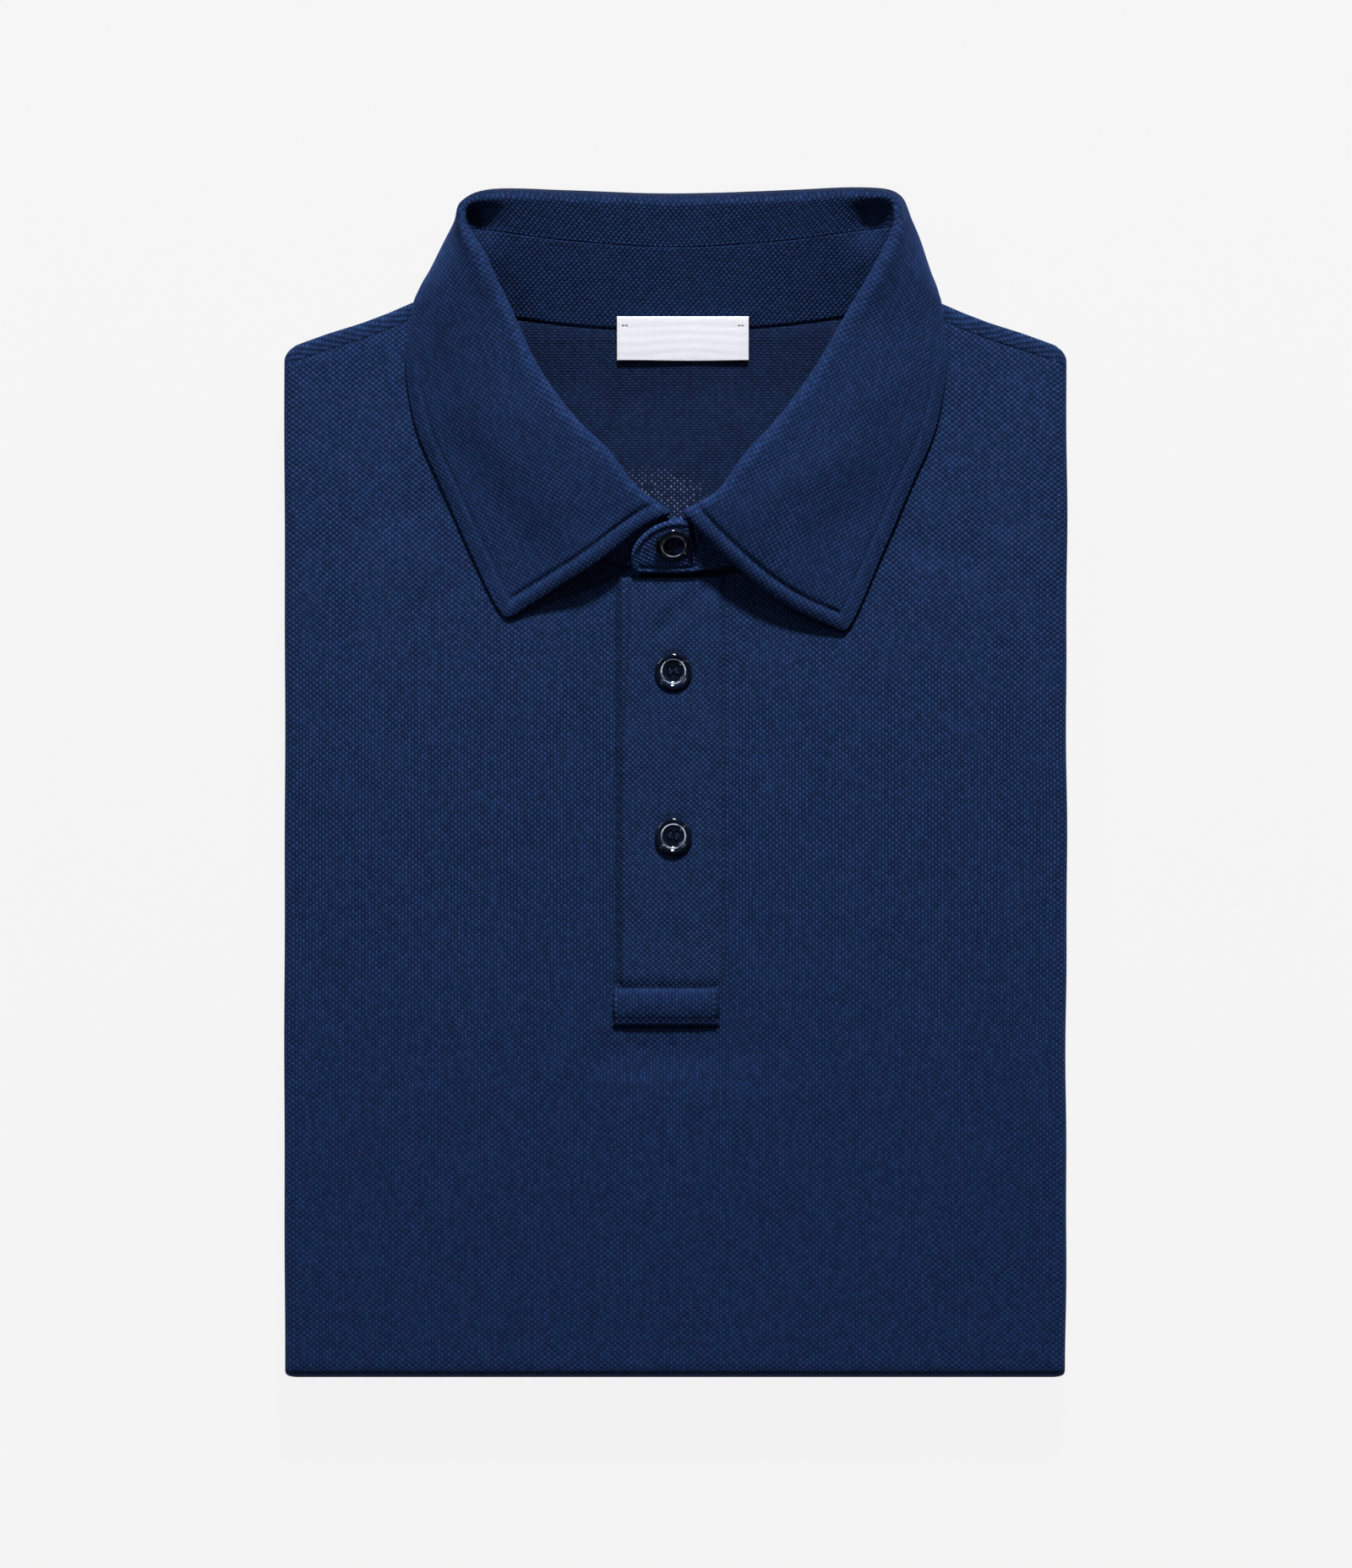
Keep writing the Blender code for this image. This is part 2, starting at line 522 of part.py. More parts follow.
def make_button(name, place, tilt, material):
    """A four-hole button, turned from its profile and set at its place."""
    vertices = [(0.0, 0.0, 0.0)]
    for radius, height in BUTTON_PROFILE:
        for step in range(BUTTON_SEGMENTS):
            angle = 2 * math.pi * step / BUTTON_SEGMENTS
            vertices.append((radius * math.cos(angle), radius * math.sin(angle), height))
    vertices.append((0.0, 0.0, BUTTON_PROFILE[-1][1]))
    faces = []
    for ring in range(len(BUTTON_PROFILE) - 1):
        start = 1 + ring * BUTTON_SEGMENTS
        above = start + BUTTON_SEGMENTS
        for step in range(BUTTON_SEGMENTS):
            following = (step + 1) % BUTTON_SEGMENTS
            faces.append((start + step, start + following, above + following, above + step))
    last = 1 + (len(BUTTON_PROFILE) - 1) * BUTTON_SEGMENTS
    for step in range(BUTTON_SEGMENTS):
        following = (step + 1) % BUTTON_SEGMENTS
        faces.append((0, 1 + following, 1 + step))
        faces.append((last + step, last + following, len(vertices) - 1))
    button = mesh_object(name, vertices, faces, material)
    drill = bmesh.new()
    for hole in range(HOLE_COUNT):
        angle = (hole + 0.5) * 2 * math.pi / HOLE_COUNT
        centre = Vector((math.cos(angle), math.sin(angle), 0.0)) * HOLE_OFFSET * MM
        bmesh.ops.create_cone(drill, cap_ends=True, segments=HOLE_SEGMENTS, radius1=HOLE_RADIUS * MM,
                              radius2=HOLE_RADIUS * MM, depth=4 * BUTTON_HEIGHT * MM,
                              matrix=Matrix.Translation(centre))
    cutter_mesh = bpy.data.meshes.new(name + "_holes")
    drill.to_mesh(cutter_mesh)
    drill.free()
    cutter = bpy.data.objects.new(name + "_holes", cutter_mesh)
    bpy.context.collection.objects.link(cutter)
    cutter.hide_render = True
    cutter.display_type = "WIRE"
    for item in (button, cutter):
        item.location = Vector(place) * MM
        item.rotation_euler = (tilt, 0.0, 0.0)
    cut = button.modifiers.new("holes", "BOOLEAN")
    cut.operation = "DIFFERENCE"
    cut.solver = "EXACT"
    cut.object = cutter
    return button


def make_buttons(material):
    """Two buttons on the placket, and one on the stand's upper end."""
    for name, y in (("button_upper", BUTTON_UPPER_Y), ("button_lower", BUTTON_LOWER_Y)):
        z = front_top(BUTTON_X, y) + GAP + BAND_CLOTH + GAP
        make_button(name, (BUTTON_X, y, z), 0.0, material)
    lift = OVERLAP_LIFT[0] + COLLAR_CLOTH / 2 + GAP
    place = on_front_slope(BUTTON_X, COLLAR_BUTTON_Y, lift)
    make_button("button_collar", place, front_slope()[0], material)


def main():
    for item in list(bpy.data.objects):
        bpy.data.objects.remove(item)
    pique = make_material("pique_cloth", NAVY, 0.85)
    inside = make_material("pique_inside", NAVY_INSIDE, 0.9)
    collar = make_material("collar_cloth", NAVY, 0.85)
    gloss = make_material("button_gloss", NAVY_GLOSS, 0.15)
    label = make_material("label_white", WHITE, 0.7)
    make_front(pique)
    make_back(inside)
    make_layers(inside)
    make_collar(collar)
    taper = (BAND_CLOTH, BAND_CLOTH, BAND_CLOTH, BAND_CLOTH, PLACKET_EDGE_CLOTH)
    laid_strip("placket_band", PLACKET_LEFT, PLACKET_RIGHT, PLACKET_TOP, PLACKET_END, taper, pique)
    crown = (CLOTH, BOX_CLOTH, BOX_CLOTH, BOX_CLOTH, CLOTH)
    laid_strip("placket_box", BOX_LEFT, BOX_RIGHT, BOX_TOP, BOX_END, crown, pique)
    make_label(label)
    make_buttons(gloss)


main()
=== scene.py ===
"""Folded polo shirt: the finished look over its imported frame.

Frame: +Z up, +Y towards the collar, +X to the right of the placket as it is seen from above.  Shapes
are worked out in millimetres and their meshes are made in metres.
"""
import math
from collections import namedtuple

import bpy
import numpy as np
from bpy.props import FloatProperty, FloatVectorProperty, IntProperty, PointerProperty
from mathutils import Matrix, Vector


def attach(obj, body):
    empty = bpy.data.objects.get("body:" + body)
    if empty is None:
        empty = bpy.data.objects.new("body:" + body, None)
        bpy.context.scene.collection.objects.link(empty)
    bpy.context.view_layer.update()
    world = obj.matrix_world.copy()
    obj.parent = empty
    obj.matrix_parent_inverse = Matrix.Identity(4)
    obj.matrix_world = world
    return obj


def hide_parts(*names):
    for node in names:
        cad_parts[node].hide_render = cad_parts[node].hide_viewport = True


bl_info = {
    "name": "Folded Polo Shirt",
    "version": (1, 0, 0),
    "blender": (4, 5, 0),
    "location": "3D View > Sidebar > Polo Shirt",
    "description": "Dresses a folded polo shirt: knit, collar, placket, buttons, label and sewing",
    "category": "Object",
}

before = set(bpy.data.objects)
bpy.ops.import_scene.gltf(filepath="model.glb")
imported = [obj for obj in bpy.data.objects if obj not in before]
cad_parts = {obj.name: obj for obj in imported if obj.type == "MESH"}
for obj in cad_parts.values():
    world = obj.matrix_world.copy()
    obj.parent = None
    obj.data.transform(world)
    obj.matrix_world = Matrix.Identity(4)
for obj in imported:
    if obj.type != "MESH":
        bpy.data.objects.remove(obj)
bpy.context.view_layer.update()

MM = 0.001

# The folded stack, close to the solids, with softer edges at its shoulders and bottom fold
CLOTH = 1.5
COLLAR_CLOTH = 2.2
BAND_CLOTH = 1.7
GAP = 0.3
AIR = 0.8
HALF_WIDTH = 132.6
BOTTOM_Y = -201.0
HEM_Y = 148.0
HEM_STITCHES = (124.2, 128.6)
HIDDEN_FOOT_Y = -186.0
STACK = 18.0
HALF_STACK = 8.6
RETURN = 20.0
RETURN_SLOPE = 0.35
SHOULDER_SEAM = 5.2
NECK_MARGIN_Y = 60.0
SHOULDER_X = (80.0, 89.0, 97.0, 106.0, 117.0, 126.0, 128.3, 130.9, 133.9, 139.5)
SHOULDER_Y = (166.2, 162.9, 159.4, 156.0, 152.6, 149.4, 148.5, 147.2, 145.0, 137.0)
BOTTOM_ROLL = 2.2
NECKLINE_X = (0.0, 12.0, 20.5, 35.3, 51.5, 65.6, 75.2, 78.0, 79.0)
NECKLINE_Y = (73.8, 74.4, 76.8, 84.6, 98.6, 117.0, 137.7, 148.6, 156.5)
BACK_NECK_X = (0.0, 32.0, 57.5, 67.0, 76.0)
BACK_NECK_Y = (155.2, 156.8, 160.2, 162.9, 165.7)
# The waves of the side folds grow from this distance out
WAVE_FROM_X, WAVE_REACH = 100.0, 30.0
# A shallow hollow low in the front
HOLLOW_X, HOLLOW_Y = -4.0, -91.0
HOLLOW_REACH_X, HOLLOW_REACH_Y = 24.0, 8.0
HOLLOW_DEPTH = 1.5

# Soft creases in the front: from and to, reach across, and height (a trough is negative)
Crease = namedtuple("Crease", "x0 y0 x1 y1 reach height")
FRONT_CREASES = (
    Crease(-84, 95, -121, 82, 6.0, -0.5),
    Crease(-76, 66, -96, 53, 6.0, -0.4),
    Crease(76, 84, 98, 74, 6.0, -0.5),
    Crease(-112, 118, -130, 122, 5.0, -0.3),
    Crease(84, 128, 104, 118, 7.0, -0.25),
    Crease(22, -72, 26, -92, 5.0, -0.35),
    Crease(-26, -84, -40, -96, 6.0, 0.2),
    Crease(-60, -30, -52, -120, 14.0, -0.2),
    Crease(18, -120, 24, -185, 12.0, -0.25),
    Crease(72, -20, 66, -150, 16.0, -0.2),
    Crease(100, 60, 108, -40, 12.0, 0.2),
    Crease(-112, 20, -104, -70, 12.0, 0.2),
)
LEAF_CREASES = (
    Crease(24, 92, 56, 112, 5.0, 0.55),
    Crease(68, 96, 36, 78, 6.0, -0.35),
    Crease(80, 128, 62, 120, 6.0, -0.3),
    Crease(-72, 112, -48, 80, 8.0, -0.45),
    Crease(-50, 126, -30, 106, 6.0, 0.35),
    Crease(-62, 84, -50, 72, 6.0, 0.25),
    Crease(-80, 140, -66, 120, 7.0, -0.3),
)
UNDER_CREASES = (
    Crease(-70, 40, -30, -60, 12.0, -0.5),
    Crease(52, 90, 78, -20, 12.0, -0.6),
    Crease(-100, -120, -40, -150, 10.0, -0.4),
    Crease(20, -90, 96, -130, 12.0, -0.5),
)
BACK_CREASES = (
    Crease(-14, 130, -30, 104, 5.0, -0.5),
    Crease(12, 118, 34, 138, 6.0, 0.35),
    Crease(2, 112, 6, 140, 7.0, 0.3),
)
PLACKET_CREASES = (
    Crease(11, 67, -5, 52, 2.6, -0.5),
    Crease(-12, 64, -2, 60, 4.0, 0.2),
    Crease(8, 62, 12, 40, 4.0, 0.25),
    Crease(-4, 30, -6, 8, 6.0, 0.18),
    Crease(-15, -50, 12, -56, 6.0, -0.2),
)
# For the stand, the second number of each point is twice its height
STAND_CREASES = (
    Crease(-46, 40, -38, 62, 5.0, -0.5),
    Crease(2, 40, 4, 58, 4.0, -0.3),
    Crease(50, 40, 44, 60, 5.0, -0.4),
)

# Collar: a row for each section, from the front edge round to the middle of the back.
# foot: neck seam.  stand: height of the stand along its slope.  roll: centre of the roll.
# out: which way the section points, in degrees from +X.  mid and edge: points of the leaf.
Section = namedtuple("Section", "foot stand roll out mid edge")
COLLAR = (
    Section((12.5, 72.4, 18.9), 18.9, (10.6, 90.6, 25.6), -60, (30.0, 73.6, 27.2), (57.1, 56.0, 18.9)),
    Section((21.5, 75.0, 19.2), 22.6, (16.8, 97.1, 27.6), -48, (36.5, 82.5, 26.6), (61.6, 61.6, 18.9)),
    Section((36.5, 83.0, 19.5), 26.8, (27.0, 108.4, 29.4), -40, (47.0, 96.5, 28.2), (69.3, 77.8, 18.9)),
    Section((53.0, 97.3, 19.5), 28.6, (39.3, 122.9, 30.6), -34, (59.0, 112.5, 28.4), (79.6, 101.0, 18.9)),
    Section((67.3, 116.0, 19.5), 28.6, (51.0, 139.7, 31.0), -28, (69.5, 130.5, 28.4), (87.6, 119.5, 18.9)),
    Section((77.0, 137.0, 19.5), 28.0, (60.4, 158.6, 32.0), -24, (76.5, 151.3, 28.6), (91.2, 139.0, 18.9)),
    Section((80.0, 148.0, 19.5), 26.6, (65.1, 168.3, 33.3), -20, (79.5, 163.0, 29.0), (90.6, 153.5, 18.9)),
    Section((81.0, 156.5, 19.4), 26.0, (68.7, 176.7, 34.5), -14, (80.8, 172.3, 28.6), (89.2, 163.8, 18.6)),
    Section((79.5, 162.8, 19.3), 26.4, (71.4, 184.1, 35.0), -6, (80.3, 181.5, 25.5), (85.5, 171.0, 10.5)),
    Section((74.5, 162.3, 18.4), 28.9, (72.6, 190.3, 34.5), 12, (77.6, 189.5, 23.0), (80.0, 177.5, 5.5)),
    Section((67.0, 160.8, 17.2), 29.7, (70.2, 195.2, 33.0), 45, (73.2, 196.3, 20.5), (71.0, 181.5, 4.0)),
    Section((57.5, 158.2, 17.0), 30.6, (61.0, 197.2, 31.0), 78, (61.5, 198.2, 18.5), (57.5, 178.0, 3.8)),
    Section((32.0, 154.8, 16.8), 30.1, (34.0, 196.0, 29.2), 90, (34.0, 197.0, 17.5), (32.0, 174.0, 3.8)),
    Section((0.0, 153.2, 16.8), 29.6, (0.0, 194.9, 28.2), 90, (0.0, 196.0, 17.0), (0.0, 172.0, 3.8)),
)
# The front edge of each leaf, in place of the table's first section, which only gives the slope there
FRONT_EDGE = {
    -1: Section((5.5, 72.2, 18.9), 18.9, (3.6, 90.4, 25.6), -20, (29.2, 72.9, 26.0), (57.1, 55.4, 18.9)),
    1: Section((6.0, 72.3, 18.9), 18.9, (3.6, 90.8, 25.8), -50, (32.0, 69.2, 22.9), (57.1, 56.0, 18.9)),
}
# Radius of the roll at each section, and how far the roll lies out from the table on either side
ROLL_RADII = (1.7, 2.1, 2.4, 2.4, 2.4, 2.4, 2.4, 2.2, 1.7, 1.0, 0.8, 1.2, 1.5, 1.5)
ROLL_OUT = {
    -1: (0.0, -1.8, -2.6, -1.2, -1.2, -1.8, -1.8, -1.8, -1.2, -0.4, 0.6, 0.6, 0.8, 0.8),
    1: (0.0, -0.8, -1.7, -0.9, -0.6, 0.7, 1.6, 2.4, 2.6, 2.4, 3.0, 1.1, 0.7, 0.8),
}
# How far the leaf's outer half lies out from the table
LEAF_OUT = {
    -1: (0.0, 0.0, 0.0, 0.0, 0.0, 0.0, -0.4, -1.2, -2.2, -3.0, -2.4, -0.4, 0.0, 0.0),
    1: (0.0,) * 14,
}
# Radius of the roll that the stand's slope at the front is worked out from
SLOPE_ROLL = 1.7
# The pocket inside each back corner of the collar
POCKET_X, POCKET_Y = 66.0, 190.0
POCKET_REACH_X, POCKET_REACH_Y = 6.5, 7.0
POCKET_DEPTH = 3.4
# The right side of the collar closes over the left: how far it is lifted, and how far its leaf is moved
# down from the table, at each section from the front
OVERLAP_LIFT = (2.0, 1.6, 0.9, 0.3)
RIGHT_LEAF_DROP = (5.1, 3.0, 1.2, 0.3)
STAND_FALL_GAP = 0.06
# Painted light: the stand's end is made lighter in colour, because its slope turns it from the light
TAB_X, TAB_Y = -9.0, 80.0
TAB_REACH_X, TAB_REACH_Y = 12.0, 10.0
TAB_PAINTED_LIGHT = 0.75
# How far the outer half of each leaf settles between its middle and its edge
LEAF_SAG = {-1: (1.0, 1.2, 1.0, 0.6, 0.3), 1: (0.0, 0.5, 0.8, 0.5, 0.3)}

EndRow = namedtuple("EndRow", "x foot_y top_y")
UNDER_END = (EndRow(8.5, 72.2, 89.2), EndRow(4.5, 72.0, 89.6), EndRow(0.5, 72.0, 89.8))
OVER_END = (EndRow(3.5, 72.3, 89.6), EndRow(0.0, 72.2, 89.8), EndRow(-4.0, 72.2, 89.2),
            EndRow(-8.0, 72.2, 87.4), EndRow(-11.4, 72.3, 84.8), EndRow(-14.0, 72.8, 81.6),
            EndRow(-15.1, 74.8, 78.6))

# Placket
PLACKET_LEFT, PLACKET_RIGHT = -20.6, 16.6
PLACKET_TOP, PLACKET_END = 69.8, -69.6
# The band's left edge ends in a thin lip, which carries painted shade
PLACKET_LIP = 2.0
PLACKET_STITCH_IN = 0.5
BOX_LEFT, BOX_RIGHT = -21.5, 14.8
# Thin lips at the box's sides, which carry painted shade
BOX_LIPS = (0.9, 1.3)
BOX_TOP, BOX_END = -69.1, -82.2

# Buttons
BUTTON_X = -0.9
HOLE_Y = BUTTON_UPPER_Y, BUTTON_LOWER_Y = 38.0, -17.7
COLLAR_BUTTON_Y = 82.0
# Turned profile of a button: radius and height.  The whole button is then made lower.
BUTTON_PROFILE = ((0.0, 0.0), (4.2, 0.0), (5.2, 0.2), (5.95, 0.8), (6.25, 1.45), (6.15, 2.0), (5.8, 2.42),
                  (5.3, 2.56), (4.85, 2.4), (4.55, 2.15), (4.3, 2.2), (4.12, 2.3), (3.92, 2.22), (3.7, 1.85),
                  (3.2, 1.5), (2.3, 1.34), (1.2, 1.3), (0.0, 1.3))
# Radii between which the button's ridge carries a painted highlight
BUTTON_HIGHLIGHT_RING = (3.78, 4.3)
BUTTON_FLATNESS = 0.66
COLLAR_BUTTON_LEAN = 0.16

# Neck label
LABEL_LEFT, LABEL_RIGHT = -20.0, 24.6
LABEL_Y = (143.1, 147.5, 151.4, 154.5, 158.0)
LABEL_Z = (17.5, 18.6, 19.5, 20.2, 21.0)
LABEL_RIM = (0.0, 0.08, 0.22, 0.45, 0.9)

# Distances in from a free edge at which a sheet has rows, for its rounded rim
RIM = (0.0, 0.12, 0.35, 0.75, 1.3)


# ------------------------------------------------------------------ sizes and colours

class PoloCloth(bpy.types.PropertyGroup):
    """Size, depth and colours of the knit."""
    wale: FloatProperty(name="Wale", description="Width of one column of the knit", default=0.00112,
                        min=0.0003, unit="LENGTH")
    course: FloatProperty(name="Course", description="Height of one raised cell of the knit",
                          default=0.00184, min=0.0003, unit="LENGTH")
    inside_wale: FloatProperty(name="Inside wale", description="Column width on the wrong side",
                               default=0.00109, min=0.0003, unit="LENGTH")
    inside_course: FloatProperty(name="Inside course", description="Cell height on the wrong side",
                                 default=0.00188, min=0.0003, unit="LENGTH")
    relief: FloatProperty(name="Relief", description="Depth of the knit", default=0.00035, min=0.0,
                          unit="LENGTH")
    loop: FloatVectorProperty(name="Loops", description="Colour of the raised loops", subtype="COLOR",
                              default=(0.0148, 0.0376, 0.1140), min=0.0, max=1.0)
    between: FloatVectorProperty(name="Between loops", description="Colour between the loops",
                                 subtype="COLOR", default=(0.0036, 0.0084, 0.0315), min=0.0, max=1.0)
    inside: FloatVectorProperty(name="Inside", description="Loops on the wrong side", subtype="COLOR",
                                default=(0.0086, 0.0196, 0.0620), min=0.0, max=1.0)


class PoloSewing(bpy.types.PropertyGroup):
    """Sizes of the stitches and of the grooves that they pull."""
    stitch: FloatProperty(name="Stitch", description="Length of one stitch", default=0.0022, min=0.0005,
                          unit="LENGTH")
    gap: FloatProperty(name="Gap", description="Cloth between two stitches", default=0.0006, min=0.0,
                       unit="LENGTH")
    thread: FloatProperty(name="Thread", description="Thickness of the thread", default=0.00032,
                          min=0.00005, unit="LENGTH")
    edge_in: FloatProperty(name="Collar topstitch", description="Distance in from the leaf's edge",
                           default=0.0056, min=0.001, unit="LENGTH")
    groove: FloatProperty(name="Groove", description="How deep a seam pulls the cloth", default=0.0006,
                          min=0.0, unit="LENGTH")
    colour: FloatVectorProperty(name="Thread colour", description="Colour of the sewing thread",
                                subtype="COLOR", default=(0.0085, 0.0190, 0.0600), min=0.0, max=1.0)


class PoloButtons(bpy.types.PropertyGroup):
    """Sizes and colour of the buttons."""
    segments: IntProperty(name="Segments", description="Sides of a turned button", default=64, min=16)
    hole: FloatProperty(name="Hole", description="Radius of a hole", default=0.00075, min=0.0002,
                        unit="LENGTH")
    hole_out: FloatProperty(name="Hole spacing", description="Middle of the button to a hole",
                            default=0.0015, min=0.0005, unit="LENGTH")
    colour: FloatVectorProperty(name="Button", description="Colour of the buttons", subtype="COLOR",
                                default=(0.0022, 0.0042, 0.0105), min=0.0, max=1.0)


class PoloStage(bpy.types.PropertyGroup):
    """Camera, lights and floor."""
    height: FloatProperty(name="Camera height", description="Camera above the shirt", default=4.0,
                          min=0.5, unit="LENGTH")
    width: FloatProperty(name="View width", description="Width seen at the shirt's front",
                         default=0.45714, min=0.1, unit="LENGTH")
    key: FloatProperty(name="Key light", description="Power of the light above the collar",
                       default=115.0, min=0.0, unit="POWER")
    fill: FloatProperty(name="Fill", description="Strength of the light all round", default=0.50,
                        min=0.0)
    floor: FloatVectorProperty(name="Floor", description="Colour of the floor", subtype="COLOR",
                               default=(0.905, 0.905, 0.905), min=0.0, max=1.0)


# ------------------------------------------------------------------ nodes

def feed(tree, sockets, values):
    """Sets sockets to values, or links them from outputs."""
    for key, value in values.items():
        if isinstance(value, bpy.types.NodeSocket):
            tree.links.new(value, sockets[key])
        else:
            sockets[key].default_value = value


def put(tree, kind, sockets=None, **settings):
    """A node with its settings, and its sockets set to values or linked from outputs."""
    made = tree.nodes.new(kind)
    for key, value in settings.items():
        setattr(made, key, value)
    feed(tree, made.inputs, sockets or {})
    return made


def calc(operation, *values):
    """Output of a Math node, in the node tree that its first linked value is from."""
    tree = next(value.id_data for value in values if isinstance(value, bpy.types.NodeSocket))
    return put(tree, "ShaderNodeMath", dict(enumerate(values)), operation=operation).outputs[0]


def smooth_step(value, low, high):
    """A value that rises smoothly from 0 at low to 1 at high."""
    made = put(value.id_data, "ShaderNodeMapRange", {"Value": value, "From Min": low, "From Max": high},
               interpolation_type="SMOOTHSTEP")
    return made.outputs["Result"]


def blend_colours(tree, share, first, second, how="MIX"):
    """Output of a colour Mix node."""
    made = put(tree, "ShaderNodeMix", data_type="RGBA", blend_type=how)
    shown = [socket for socket in made.inputs if socket.enabled]
    feed(tree, shown, {0: share, 1: first, 2: second})
    return next(socket for socket in made.outputs if socket.enabled)


def new_group(name, kind, inputs, outputs):
    """A node group with its sockets, and the sockets of its input and output nodes."""
    tree = bpy.data.node_groups.new(name, kind)
    for label, shape, value in inputs:
        socket = tree.interface.new_socket(label, in_out="INPUT", socket_type="NodeSocket" + shape)
        if value is not None:
            socket.default_value = value
    for label, shape in outputs:
        tree.interface.new_socket(label, in_out="OUTPUT", socket_type="NodeSocket" + shape)
    return tree, tree.nodes.new("NodeGroupInput").outputs, tree.nodes.new("NodeGroupOutput").inputs


def knit_group():
    """Staggered raised loops of a pique knit, on coordinates in metres."""
    known = bpy.data.node_groups.get("Pique Knit")
    if known:
        return known
    tree, given, out = new_group(
        "Pique Knit", "ShaderNodeTree",
        (("Vector", "Vector", None), ("Wale", "Float", 0.00112), ("Course", "Float", 0.00184),
         ("Uneven", "Float", 0.00016), ("Lean", "Float", 0.0), ("Rows", "Float", 0.0),
         ("Bead", "Float", 0.45), ("Columns", "Float", 0.0)),
        (("Loop", "Float"), ("Height", "Float"), ("Tone", "Float"), ("Dot", "Float")))
    wander = put(tree, "ShaderNodeTexNoise", {"Vector": given["Vector"], "Scale": 520.0, "Detail": 2.0})
    middle = put(tree, "ShaderNodeVectorMath", {0: wander.outputs["Color"], 1: (0.5, 0.5, 0.5)},
                 operation="SUBTRACT")
    shift = put(tree, "ShaderNodeVectorMath", {0: middle.outputs[0], "Scale": given["Uneven"]},
                operation="SCALE")
    place = put(tree, "ShaderNodeVectorMath", {0: given["Vector"], 1: shift.outputs[0]}, operation="ADD")
    split = put(tree, "ShaderNodeSeparateXYZ", {0: place.outputs[0]})
    across = calc("DIVIDE", split.outputs[0], given["Wale"])
    column = calc("FLOOR", across)
    odd = calc("FLOORED_MODULO", column, 2.0)
    along = calc("DIVIDE", split.outputs[1], given["Course"])
    up = calc("ADD", along, calc("MULTIPLY", odd, 0.5))
    cell = calc("FLOOR", up)
    offset_x = calc("SUBTRACT", calc("SUBTRACT", across, column), 0.5)
    offset_y = calc("SUBTRACT", calc("SUBTRACT", up, cell), 0.5)
    square = calc("ADD", calc("POWER", calc("DIVIDE", offset_x, 0.50), 2.0),
                  calc("POWER", calc("DIVIDE", offset_y, 0.46), 2.0))
    bead = smooth_step(calc("SQRT", square), 1.1, 0.15)
    turn_x = calc("MULTIPLY", calc("SUBTRACT", across, 0.5), math.pi)
    turn_y = calc("MULTIPLY", calc("SUBTRACT", along, 0.5), 2.0 * math.pi)
    falling = calc("COSINE", calc("ADD", turn_x, turn_y))
    rising = calc("COSINE", calc("SUBTRACT", turn_x, turn_y))
    wave = calc("MULTIPLY_ADD", calc("SUBTRACT", rising, falling),
                calc("MULTIPLY_ADD", given["Lean"], 0.5, 0.5), falling)
    wave = calc("MULTIPLY_ADD", wave, 0.5, 0.5)
    height = calc("MULTIPLY_ADD", calc("SUBTRACT", bead, wave), given["Bead"], wave)
    ridge = calc("COSINE", calc("MULTIPLY", up, 4.0 * math.pi))
    ridge = calc("MULTIPLY", calc("MULTIPLY", ridge, given["Rows"]), 0.5)
    height = calc("ADD", height, ridge)
    upright = calc("COSINE", calc("MULTIPLY", calc("SUBTRACT", across, 0.5), 2.0 * math.pi))
    upright = calc("MULTIPLY", calc("MULTIPLY", upright, given["Columns"]), 0.5)
    height = calc("ADD", height, upright)
    patchy = put(tree, "ShaderNodeTexNoise", {"Vector": given["Vector"], "Scale": 75.0, "Detail": 2.0})
    strength = put(tree, "ShaderNodeMapRange", {"Value": patchy.outputs["Fac"], "From Min": 0.35,
                                                "From Max": 0.65, "To Min": 0.8, "To Max": 1.12})
    above = calc("SUBTRACT", height, 0.45)
    height = calc("MULTIPLY_ADD", above, strength.outputs["Result"], 0.45)
    height = calc("MAXIMUM", height, 0.0)
    number = put(tree, "ShaderNodeCombineXYZ", {0: column, 1: cell})
    tone = put(tree, "ShaderNodeTexWhiteNoise", {"Vector": number.outputs[0]}, noise_dimensions="2D")
    fibre = put(tree, "ShaderNodeTexNoise", {"Vector": given["Vector"], "Scale": 5200.0, "Detail": 2.0})
    rough = calc("MULTIPLY", calc("SUBTRACT", fibre.outputs["Fac"], 0.5), 0.35)
    feed(tree, out, {"Loop": height, "Height": calc("ADD", height, rough),
                     "Tone": tone.outputs["Value"], "Dot": bead})
    return tree


def dye_group():
    """Broad unevenness of dyed cloth: a factor about 1."""
    known = bpy.data.node_groups.get("Dye Unevenness")
    if known:
        return known
    tree, given, out = new_group(
        "Dye Unevenness", "ShaderNodeTree", (("Vector", "Vector", None), ("Amount", "Float", 0.1)),
        (("Factor", "Float"),))
    broad = put(tree, "ShaderNodeTexNoise", {"Vector": given["Vector"], "Scale": 42.0, "Detail": 3.0})
    fine = put(tree, "ShaderNodeTexNoise", {"Vector": given["Vector"], "Scale": 260.0, "Detail": 2.0})
    both = calc("ADD", calc("MULTIPLY", broad.outputs["Fac"], 0.65),
                calc("MULTIPLY", fine.outputs["Fac"], 0.35))
    centred = calc("MULTIPLY", calc("SUBTRACT", both, 0.5), 2.0)
    tree.links.new(calc("MULTIPLY_ADD", centred, given["Amount"], 1.0), out["Factor"])
    return tree


def new_material(name, constants):
    """A material with its Principled BSDF, and constant values on the shader's own sockets."""
    material = bpy.data.materials.new(name)
    material.use_nodes = True
    tree = material.node_tree
    shader = tree.nodes["Principled BSDF"]
    feed(tree, shader.inputs, constants)
    return material, tree, shader
